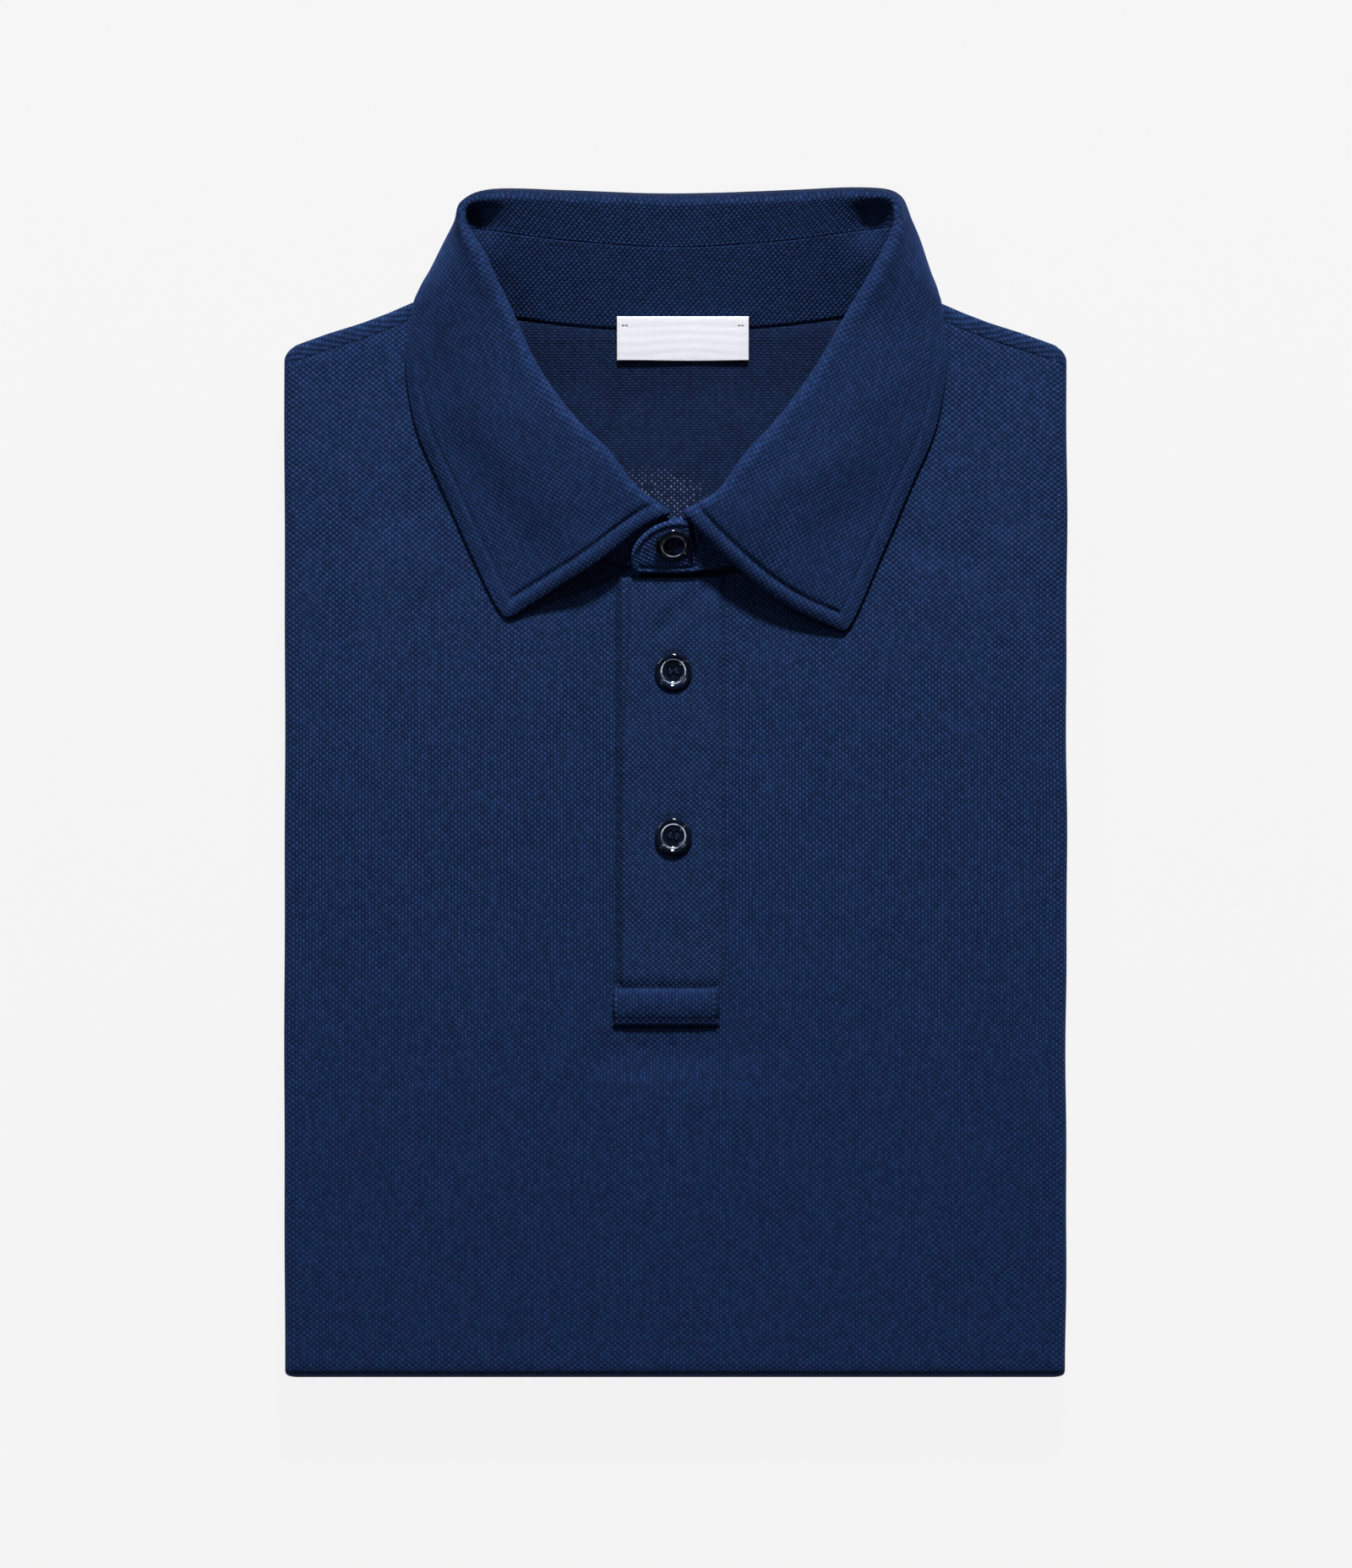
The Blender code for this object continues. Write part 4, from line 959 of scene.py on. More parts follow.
class POLO_OT_front(bpy.types.Operator):
    """Front: over the top, round the bottom and side folds, and underneath to the hem"""
    bl_idname = "polo.front"
    bl_label = "Front"

    def execute(self, context):
        grid, uv = front_grid()
        x, y, z = grid[..., 0].copy(), grid[..., 1].copy(), grid[..., 2].copy()
        on_top = (z > STACK / 2 + 3.0) & (np.abs(x) < HALF_WIDTH - 4.5)
        lift = front_top(x, y) - STACK
        top_share = clamp((z - STACK / 2) / 7.0)
        grid[..., 2] += np.where(on_top & (z > STACK - CLOTH), lift, 0.0) * top_share
        below = z < CLOTH
        held = clamp((HALF_WIDTH - 10.0 - np.abs(x)) / 14.0)
        dent = -creased(x, y, UNDER_CREASES) * held
        grid[..., 2] += np.where(below, dent, 0.0)
        wave_sides(grid)
        hem = np.where(below, sum(bell(y - hem_y, 0.7) for hem_y in HEM_STITCHES), 0.0)
        groove = context.scene.polo_sewing.groove / MM
        seam = front_upper_edge(x) - y
        relief = -0.7 * groove * hem - 0.2 * np.where(on_top & (np.abs(x) > 80.0), bell(seam, 1.5), 0.0)
        piece, outer, _ = wall("front_cloth", grid, uv, CLOTH,
                               [face_material(context), inside_material(context)], facing=-1, relief=relief)
        stand_in(piece, "front_panel")
        lines = []
        middle = grid.shape[1] // 2
        flat = [column for column in range(grid.shape[1]) if abs(x[-1, column]) < HALF_WIDTH - 5.0
                and z[-1, column] < CLOTH]
        for hem_y in HEM_STITCHES:
            row = int(np.argmin(np.where(below[:, middle], np.abs(y[:, middle] - hem_y), 1e9)))
            lines.append([outer[row, column] + (0, 0, 0.02) for column in flat])
        stitches = sew(context, "hem_stitches", lines)
        return {"FINISHED"}


class POLO_OT_back(bpy.types.Operator):
    """Back: flat under the front, turned over the shoulders, and open at the neck"""
    bl_idname = "polo.back"
    bl_label = "Back"

    def execute(self, context):
        level = STACK - 1.5 * CLOTH - GAP - AIR
        turn = (CLOTH + GAP + AIR) / 2
        lap = SHOULDER_SEAM - CLOTH / 2 - turn + 0.7
        side_x = HALF_WIDTH - CLOTH / 2 - (HALF_STACK - CLOTH) / 2
        end_x = side_x + 6.2
        half = spread((0.0, 32.0, 57.5, 67.0, 73.0, 76.0, 78.0, 80.0, 97.0, side_x), 3.0).tolist()
        half += spread((side_x, end_x - 1.3), 0.7)[1:].tolist()
        half += [end_x - inward for inward in reversed(RIM[:-1])]
        x = np.array([-place for place in half[:0:-1]] + half)
        curled = clamp((np.abs(x) - BACK_NECK_X[-1]) / (SHOULDER_X[0] - BACK_NECK_X[-1]))
        shoulder = shoulder_line(np.maximum(np.abs(x), SHOULDER_X[0])) - CLOTH / 2 - turn
        neck = np.interp(np.abs(x), BACK_NECK_X, BACK_NECK_Y) - math.pi * turn - lap
        base = np.where(curled > 0, shoulder, neck)
        starts = [HIDDEN_FOOT_Y + inward for inward in RIM]
        starts += spread((starts[-1], NECK_MARGIN_Y), 24.0)[1:].tolist()
        starts += [NECK_MARGIN_Y + (base - NECK_MARGIN_Y) * share for share in np.linspace(0.0, 1.0, 36)[1:]]
        rows = [(y, level, y) for y in starts]
        radius = turn / np.maximum(curled, 1e-3)
        steps = 10
        for step in range(1, steps + 1):
            bend = math.pi * curled * step / steps
            flat = base + math.pi * turn * step / steps
            rows.append((np.where(curled > 0, base + radius * np.sin(bend), flat),
                         np.where(curled > 0, level + radius * (1 - np.cos(bend)), level), flat))
        bend = math.pi * curled
        turned_y, turned_z, turned = rows[-1]
        for ahead in (0.5, lap / 2, lap - 0.75, lap - 0.35, lap - 0.12, lap):
            rows.append((turned_y + ahead * np.cos(bend), turned_z + ahead * np.sin(bend), turned + ahead))
        grid, uv = laid_rows(x, x, rows)
        gx, gy = grid[..., 0], grid[..., 1]
        inside = clamp((gy - 70.0) / 20.0) * clamp((86.0 - np.abs(gx)) / 10.0)
        soft = creased(gx, gy, BACK_CREASES) + uneven(gx, gy)
        soft = soft * inside * clamp((150.0 - gy) / 8.0)
        grid[..., 2] += np.minimum(soft, 0.2) - 0.1 * inside * (soft != 0.0)
        feet = np.array([row.foot for row in COLLAR[:-5:-1]])
        foot_y = np.interp(np.abs(gx), feet[:, 0], feet[:, 1])
        joined = eased((gy - foot_y + 24.0) / 22.0) * eased((foot_y + 1.3 - gy) / 1.4)
        grid[..., 2] += 2.1 * joined * clamp((76.0 - np.abs(gx)) / 6.0)
        grid = round_side(grid)
        wave_sides(grid)
        piece, _, _ = wall("back_cloth", grid, uv, CLOTH, [face_material(context), inside_material(context)],
                           facing=-1)
        stand_in(piece, "back_panel")
        return {"FINISHED"}


def flat_tube(low, high, half, y_start, upper, ply, uneven_by):
    """Middle points of a tube of cloth pressed flat, open at its upper end."""
    nose = (high - low - ply) / 2
    middle = (low + high) / 2
    centre = half - nose - ply / 2

    def half_turn(side):
        angles = [math.pi * step / 8 for step in range(1, 9)]
        return [(side * (centre + nose * math.sin(angle)), middle - side * nose * math.cos(angle))
                for angle in angles]

    path = [(x, middle - nose) for x in spread((0.0, centre), 9.0)] + half_turn(1)
    path += [(x, middle + nose) for x in spread((centre, -centre), 9.0)[1:]] + half_turn(-1)
    path += [(x, middle - nose) for x in spread((-centre, -0.4), 9.0)[1:]]
    path = np.array(path)
    x, z = path.T
    edge = upper(x) + uneven_by * (np.sin(x / 17.0 + z) + 0.6 * np.sin(x / 7.0 + 2.0 * z))
    places = [1.0 - inward for inward in (0.0, 0.0006, 0.002, 0.005, 0.01)]
    shares = np.concatenate([np.linspace(0.0, 0.95, 12), np.linspace(0.96, 0.985, 3), places[::-1]])
    grid = np.array([np.stack([x, y_start + (edge - y_start) * share, z], axis=1) for share in shares])
    across = path_lengths(np.stack([x, z], axis=1))
    uv = np.stack([np.broadcast_to(across, grid.shape[:2]), grid[..., 1]], axis=-1)
    return grid, uv


# Thickness of the layers' cloth, and unevenness of their upper edge
LAYER_PLY, LAYER_UNEVEN = 0.95, 0.35


# The topmost layer's upper edge: its height behind the neck, how far it lies below that and the shoulder,
# and where it starts to rise and over what width
DIP_Y, DIP_DROP = 152.0, 4.6
DIP_HALF_WIDTH, DIP_RISE = 66.0, 16.0


def neck_dip(x):
    """Upper edge of the topmost layer: low behind the neck, then along the shoulder."""
    rise = clamp((np.abs(x) - DIP_HALF_WIDTH) / DIP_RISE)
    return DIP_Y - DIP_DROP + (shoulder_line(x) - DIP_Y) * rise


def below_hem(drop):
    """A straight upper edge below the hem."""
    return lambda x: np.full_like(x, HEM_Y - drop)


class POLO_OT_layers(bpy.types.Operator):
    """Sides, sleeves and the back's lower half, folded out of sight: pressed layers that show at the edges"""
    bl_idname = "polo.layers"
    bl_label = "Folded layers"

    def execute(self, context):
        reach = HALF_WIDTH - CLOTH - GAP
        tubes = (
            ("lower_layer_a", 1.9, 4.15, reach - 0.6, below_hem(3.2)),
            ("lower_layer_b", 4.4, 6.7, reach - 0.6, below_hem(4.6)),
            ("middle_layer", 7.0, 10.9, 104.0, below_hem(9.0)),
            ("upper_layer", 11.25, 13.45, reach - 3.4, neck_dip),
        )
        for name, low, high, half, upper in tubes:
            grid, uv = flat_tube(low, high, half, HIDDEN_FOOT_Y, upper, LAYER_PLY, LAYER_UNEVEN)
            piece, _, _ = wall(name, grid, uv, LAYER_PLY, [face_material(context)], facing=-1)
            stand_in(piece, "folded_layers" if name == "upper_layer" else None)
        return {"FINISHED"}


# ------------------------------------------------------------------ collar

def front_slope():
    """Slope of the stand at the front: its angle, and the way straight out of it."""
    foot, roll = COLLAR[0].foot, COLLAR[0].roll
    run, rise = roll[1] - foot[1], roll[2] - foot[2]
    angle = math.atan2(rise, run) + math.asin(SLOPE_ROLL / math.hypot(run, rise))
    return angle, np.array([0.0, -math.sin(angle), math.cos(angle)])


def on_front_slope(x, y, lift):
    """A point on the stand's slope at the front, lifted straight out of it."""
    angle, normal = front_slope()
    foot = COLLAR[0].foot
    return np.array([x, y, foot[2] + (y - foot[1]) * math.tan(angle)]) + lift * normal


def placed_section(index, side):
    """One row of the collar table on the left (side -1) or the right (side 1)."""
    row = COLLAR[index] if index else FRONT_EDGE[side]
    flip = np.array([side, 1.0, 1.0])
    foot, roll, mid, edge = (np.array(point) * flip for point in (row.foot, row.roll, row.mid, row.edge))
    out = math.radians(row.out)
    outward = np.array([side * math.cos(out), math.sin(out), 0.0])
    roll = roll + ROLL_OUT[side][index] * outward
    mid = mid + (0.6 * ROLL_OUT[side][index] + LEAF_OUT[side][index]) * outward
    edge = edge + LEAF_OUT[side][index] * outward
    if side > 0 and index < len(OVERLAP_LIFT):
        lift = OVERLAP_LIFT[index] * front_slope()[1]
        foot = foot + lift
        roll = roll + lift
        mid = mid + 0.5 * lift
        drop = np.array([0.0, RIGHT_LEAF_DROP[index], 0.0])
        mid = mid - drop
        edge = edge - drop
    return foot, row.stand, roll, outward, mid, edge


STAND_STEPS, ROLL_STEPS, LEAF_STEPS = 4, 14, 20
INNER_COLUMNS = 9
# Column of the fall from which its flat places are measured
LEAF_REFERENCE = 22
# How far the knit leans on the stand; on the fall's inner strip it leans the other way
NECK_LEAN = 0.25
TIP_RADIUS = 2.2


def collar_section(index, side):
    """Points of one collar section: the foot, and the fall from its seam over the roll to the edge."""
    radius = ROLL_RADII[index]
    foot, stand, roll, outward, mid, edge = placed_section(index, side)
    up = np.array([0.0, 0.0, 1.0])

    def flat(point):
        return np.array([np.dot(point - roll, outward), point[2] - roll[2]])

    def turned(angle):
        return roll + radius * (math.cos(angle) * outward + math.sin(angle) * up)

    to_roll = -flat(foot)
    rising = math.atan2(to_roll[1], to_roll[0]) + math.asin(radius / math.hypot(*to_roll))
    to_mid = flat(mid)
    falling = math.atan2(to_mid[1], to_mid[0]) - math.asin(radius / math.hypot(*to_mid))
    first, last = rising + math.pi / 2, falling + math.pi / 2
    touch = turned(first)
    seam = foot + (touch - foot) * stand / np.linalg.norm(touch - foot)
    points = [seam + (touch - seam) * step / STAND_STEPS for step in range(STAND_STEPS)]
    points += [turned(first + (last - first) * step / ROLL_STEPS) for step in range(ROLL_STEPS + 1)]
    leaving = points[-1]
    ahead = math.cos(falling) * outward + math.sin(falling) * up
    span = np.linalg.norm(mid - leaving)
    knots = np.array([mid - 2 * span * ahead, leaving, mid, edge, 2 * edge - mid])
    for knot in (1, 2):
        for step in range(1, LEAF_STEPS + 1):
            t = step / LEAF_STEPS
            points.append(curve_point(*knots[knot - 1:knot + 3], t))
            if knot == 2 and index < len(LEAF_SAG[side]):
                points[-1] = points[-1] - LEAF_SAG[side][index] * math.sin(math.pi * t ** 1.2) * up
    return foot, seam, np.array(points)


def collar_places():
    """Places along the collar's sections, close together at the front edges."""
    last = 2 * (len(COLLAR) - 1)
    start = [0.0, 0.012, 0.035, 0.07, 0.12] + np.linspace(0.17, 1.0, 19).tolist()
    start += np.linspace(1.0, 2.0, 13)[1:].tolist() + np.linspace(2.0, 3.0, 9)[1:].tolist()
    middle = np.linspace(3.0, last - 3.0, 7 * (last - 6) + 1)[1:-1].tolist()
    return np.array(start + middle + [last - place for place in reversed(start)])


def flattened(grid, reference):
    """Places of a curved sheet's points on its flat cloth, laid out row by row."""
    rows = len(grid)
    across = np.gradient(grid, axis=1)
    side = unit(across)
    along = unit(np.cross(sheet_normals(grid), side))
    lengths = grid_lengths(grid, 1)
    lengths = lengths - lengths[:, reference:reference + 1]
    start = rows // 2
    uv = np.zeros(grid.shape[:2] + (2,))
    uv[start, :, 0] = lengths[start]
    for direction in (1, -1):
        origin, angle = np.zeros(2), 0.0
        row = start
        while 0 <= row + direction < rows:
            step = grid[row + direction] - grid[row]
            ahead = np.sum(step * along[row], axis=1)
            aside = np.sum(step[reference] * side[row, reference])
            slope = np.polyfit(lengths[row], ahead, 1)
            forth = np.array([-math.sin(angle), math.cos(angle)])
            right = np.array([math.cos(angle), math.sin(angle)])
            origin = origin + forth * np.polyval(slope, 0.0) + right * aside
            angle += slope[0]
            right = np.array([math.cos(angle), math.sin(angle)])
            row += direction
            uv[row] = origin + lengths[row][:, None] * right
    return uv


def section_rows():
    """All collar sections, from the left front edge round the back to the right front edge."""
    last = len(COLLAR) - 1
    order = [(index, -1) for index in range(last + 1)] + [(index, 1) for index in range(last - 1, -1, -1)]
    return [collar_section(index, side) for index, side in order]


def pocket(points):
    """How deep the pocket inside the back corners is at points of the collar's inner side."""
    aside = (np.abs(points[..., 0]) - POCKET_X) / POCKET_REACH_X
    ahead = (points[..., 1] - POCKET_Y) / POCKET_REACH_Y
    return POCKET_DEPTH * np.exp(-aside ** 2 - ahead ** 2)


def fall_grid():
    """Middle points of the fall: rows along the collar, columns from the leaf's edge in to the seam."""
    dense = curve_rows([points for _, _, points in section_rows()], collar_places())
    edge_in = RIM + (2.0, 3.0, 4.0, 4.6, 5.0, 5.3, 5.6, 5.9, 6.2, 6.6, 7.4, 8.6, 10.0)
    leave = len(dense[0]) - 1 - (STAND_STEPS + ROLL_STEPS)
    rows = []
    for line in dense:
        line = line[::-1]
        length = path_lengths(line)
        at_leave, at_touch, at_seam = length[leave], length[leave + ROLL_STEPS], length[-1]
        places = np.concatenate([
            edge_in, np.linspace(10.0, at_leave, 15)[1:], np.linspace(at_leave, at_touch, 13)[1:],
            np.linspace(at_touch, at_seam - RIM[-1], INNER_COLUMNS + 1)[1:], at_seam - np.array(RIM[-2::-1])])
        rows.append(np.stack([np.interp(places, length, line[:, axis]) for axis in range(3)], axis=1))
    grid = np.array(rows)
    inner = INNER_COLUMNS + len(RIM) - 1
    share = clamp(grid_lengths(grid[:, -inner - 1:], 1) / 3.0)
    grid[:, -inner - 1:, 2] -= share * pocket(grid[:, -inner - 1:])
    return grid, inner


def soften_tip(grid, to_front, to_edge):
    """Draws the leaf's point in to a rounded corner."""
    aside, ahead = TIP_RADIUS - to_front, TIP_RADIUS - to_edge
    near = (aside > 0.0) & (ahead > 0.0)
    share = np.where(near, np.maximum(aside, ahead) / np.maximum(np.hypot(aside, ahead), 1e-6), 1.0)
    along = unit(np.gradient(grid, axis=0))
    half = grid.shape[0] // 2
    along[half:] *= -1.0
    across = unit(np.gradient(grid, axis=1))
    return (grid + along * (np.where(near, aside, 0.0) * (1.0 - share))[..., None]
            + across * (np.where(near, ahead, 0.0) * (1.0 - share))[..., None])


def line_inside(points, along, other, value):
    """Points where the first distance reaches a value, kept where the other is at least as much."""
    line = []
    for row, distances in enumerate(along):
        first = int(np.argmax(distances >= value))
        if first and other[row, first] >= value:
            share = (value - distances[first - 1]) / (distances[first] - distances[first - 1])
            line.append(points[row, first - 1] * (1 - share) + points[row, first] * share)
    return line


class POLO_OT_fall(bpy.types.Operator):
    """Collar fall: up from the stand's seam, over the roll and out to the leaf points"""
    bl_idname = "polo.fall"
    bl_label = "Collar fall"

    def execute(self, context):
        sewing = context.scene.polo_sewing
        stitch_in, groove = sewing.edge_in / MM, sewing.groove / MM
        grid, inner = fall_grid()
        to_front = np.minimum(line_distance(grid, grid[0]), line_distance(grid, grid[-1]))
        grid = soften_tip(grid, to_front, line_distance(grid, grid[:, 0]))
        to_edge = line_distance(grid, grid[:, 0])
        to_front = np.minimum(line_distance(grid, grid[0]), line_distance(grid, grid[-1]))
        to_seam = line_distance(grid, grid[:, -1])
        rim = np.minimum.reduce([to_edge, to_front, 6.0 * to_seam])
        inward = np.minimum(to_edge, to_front)
        columns = np.arange(grid.shape[1])[None, :]
        on_leaf = clamp((grid.shape[1] - inner - 6 - columns) / 5.0)
        on_top = clamp((grid[..., 2] - 17.0) / 3.0)
        band = clamp(inward / stitch_in)
        beside = np.where(to_front < to_edge, 1.0, 0.3)
        puff = 0.5 * np.sin(math.pi * band ** 0.85) ** 1.2
        line = -1.1 * groove * bell(inward - stitch_in, 0.55) - 0.3 * groove * bell(inward - stitch_in, 1.6)
        x, y = grid[..., 0], grid[..., 1]
        soft = creased(x, y, LEAF_CREASES) + 0.7 * uneven(1.7 * x, 1.7 * y)
        inner_leaf = clamp((inward - 6.0) / 6.0)
        relief = on_leaf * on_top * beside * (puff + line) + 0.9 * soft * on_leaf * inner_leaf
        # Painted shade along the stitches' grooves and on a broad patch of the left leaf, painted light on a
        # patch of the right leaf and along the seam's ridge, and painted shade at the collar's back where the
        # cloth faces backwards or sideways
        painted_shading = 1.0 - 0.38 * beside * on_leaf * on_top * bell(inward - stitch_in, 0.6)
        painted_shading -= 0.13 * bell(x + 75.0, 14.0) * bell(y - 150.0, 18.0)
        painted_shading += 0.10 * bell(x - 79.0, 12.0) * bell(y - 145.0, 18.0)
        painted_shading += 0.4 * bell(to_seam - 0.5, 0.45)
        facing = sheet_normals(grid)
        away = clamp(np.maximum(facing[..., 1], 0.7 * np.abs(facing[..., 0])))
        painted_shading -= 0.68 * away * clamp((y - 183.0) / 6.0)
        corner = bell(np.abs(x) - 71.0, 7.0) * bell(y - 192.0, 9.0)
        to_full = np.where(columns > grid.shape[1] // 2, 1.0, eased(inward / 4.5))
        thick = 1.0 + (COLLAR_CLOTH - 1.0) * (1.0 - 0.7 * corner) * to_full
        uv = flattened(grid, LEAF_REFERENCE)
        patch = np.zeros((grid.shape[0] - 1, grid.shape[1] - 1), dtype=np.int32)
        patch[:, -inner - 5:] = 1
        piece, outer, normals = wall("fall_cloth", grid, uv, thick,
                                     [collar_material(context), neck_material(context, -NECK_LEAN)],
                                     relief=relief, rim=rim, patch=patch, painted_shading=painted_shading)
        stand_in(piece, "collar_fall")
        sunk = outer - normals * 0.10
        half = len(grid) // 2
        lines = [line_inside(sunk, to_edge, to_front, stitch_in)]
        for rows in (slice(0, half), slice(len(grid) - 1, half, -1)):
            columns = slice(8, grid.shape[1] - inner - 6)
            turned = (np.swapaxes(field[rows, columns], 0, 1) for field in (sunk, to_front, to_edge))
            lines.append(line_inside(*turned, stitch_in))
        stitches = sew(context, "leaf_topstitch", lines)
        return {"FINISHED"}


def stand_rows():
    """Foot and top points of the stand, from its under end round the neck to its over end."""
    sections = section_rows()
    places = collar_places()
    feet = curve_rows([foot for foot, _, _ in sections], places)
    seams = curve_rows([seam for _, seam, _ in sections], places)
    along = unit(np.gradient(seams, axis=0))
    rising = seams - feet
    straight_up = unit(rising - along * np.sum(rising * along, axis=1, keepdims=True))
    tops = seams - STAND_FALL_GAP * straight_up
    parts = []
    for table, lift in ((UNDER_END, 0.0), (OVER_END, OVERLAP_LIFT[0])):
        rows = np.array([(row.x, row.foot_y, row.top_y) for row in table])
        if table is UNDER_END:
            steps = [0.0, 0.03, 0.08, 0.16, 0.3] + np.linspace(0.5, 2.0, 10).tolist()
        else:
            steps = np.linspace(0.0, 5.4, 28).tolist() + [5.6, 5.75, 5.87, 5.95, 6.0]
        smooth = curve_rows(rows, steps)
        parts.append((np.array([on_front_slope(x, foot, lift) for x, foot, _ in smooth]),
                      np.array([on_front_slope(x, top, lift) for x, _, top in smooth])))
    feet = np.concatenate([parts[0][0], feet, parts[1][0]])
    tops = np.concatenate([parts[0][1], tops, parts[1][1]])
    return feet, tops, len(parts[0][0]), len(parts[1][0])


class POLO_OT_stand(bpy.types.Operator):
    """Collar stand: a band round the neck whose right end closes over its left one"""
    bl_idname = "polo.stand"
    bl_label = "Collar stand"

    def execute(self, context):
        groove = context.scene.polo_sewing.groove / MM
        feet, tops, under_rows, over_rows = stand_rows()
        inset = np.array(RIM[:-1] + (1.3, 1.7, 2.1, 2.5, 3.0, 3.8))
        height = np.linalg.norm(tops - feet, axis=1)[:, None]
        low = np.minimum(inset[None, :] / height, 0.45)
        high = 1.0 - low[:, ::-1]
        inner = np.linspace(0.0, 1.0, 10)[1:-1][None, :]
        middle = low[:, -1:] + (high[:, :1] - low[:, -1:]) * inner
        shares = np.concatenate([low, middle, high], axis=1)
        grid = feet[:, None] + (tops - feet)[:, None] * shares[..., None]
        grid[..., 2] -= pocket(grid)
        order = np.arange(len(grid))
        joined = clamp((order - under_rows) / 6.0) * clamp((len(grid) - over_rows - order) / 6.0)
        to_top = line_distance(grid, grid[:, -1]) * (1.0 + 5.0 * joined[:, None])
        rim = np.minimum.reduce([line_distance(grid, grid[:, 0]), line_distance(grid, grid[0]),
                                 line_distance(grid, grid[-1]), to_top])
        x, y = grid[..., 0], grid[..., 1]
        relief = -0.6 * groove * bell(rim - 2.1, 0.5) + 0.15 * np.sin(math.pi * clamp(rim / 2.1))
        back = clamp((y - 150.0) / 10.0)
        soft = creased(x, grid[..., 2] * 2.0, STAND_CREASES)
        relief = relief + soft * back * clamp((rim - 2.0) / 3.0)
        uv = flattened(grid, grid.shape[1] // 2)
        # Painted light on the stand's end
        painted_shading = 1.0 + TAB_PAINTED_LIGHT * bell(x - TAB_X, TAB_REACH_X) * bell(y - TAB_Y, TAB_REACH_Y)
        piece, outer, normals = wall("stand_cloth", grid, uv, COLLAR_CLOTH,
                                     [neck_material(context, NECK_LEAN)], relief=relief, rim=rim, painted_shading=painted_shading)
        stand_in(piece, "collar_stand")
        sunk = outer - normals * 0.03
        lines = []
        for column_of in (6, grid.shape[1] - 7):
            lines.append([sunk[row, column_of] for row in range(under_rows + 2, len(grid) - 8)])
        stitches = sew(context, "stand_stitches", lines)
        return {"FINISHED"}


# ------------------------------------------------------------------ placket, label and buttons

def strip_places(start, end, step, fine=RIM):
    """Places from one edge to the other, close together at both edges."""
    way = 1.0 if end > start else -1.0
    first = [start + way * inward for inward in fine]
    last = [end - way * inward for inward in reversed(fine)]
    return np.array(first + spread((first[-1], last[0]), step)[1:-1].tolist() + last)


def slanted(y):
    """How much further in from its lip the placket's stitching lies towards the top."""
    return 1.9 * eased((y - 10.0) / 40.0)


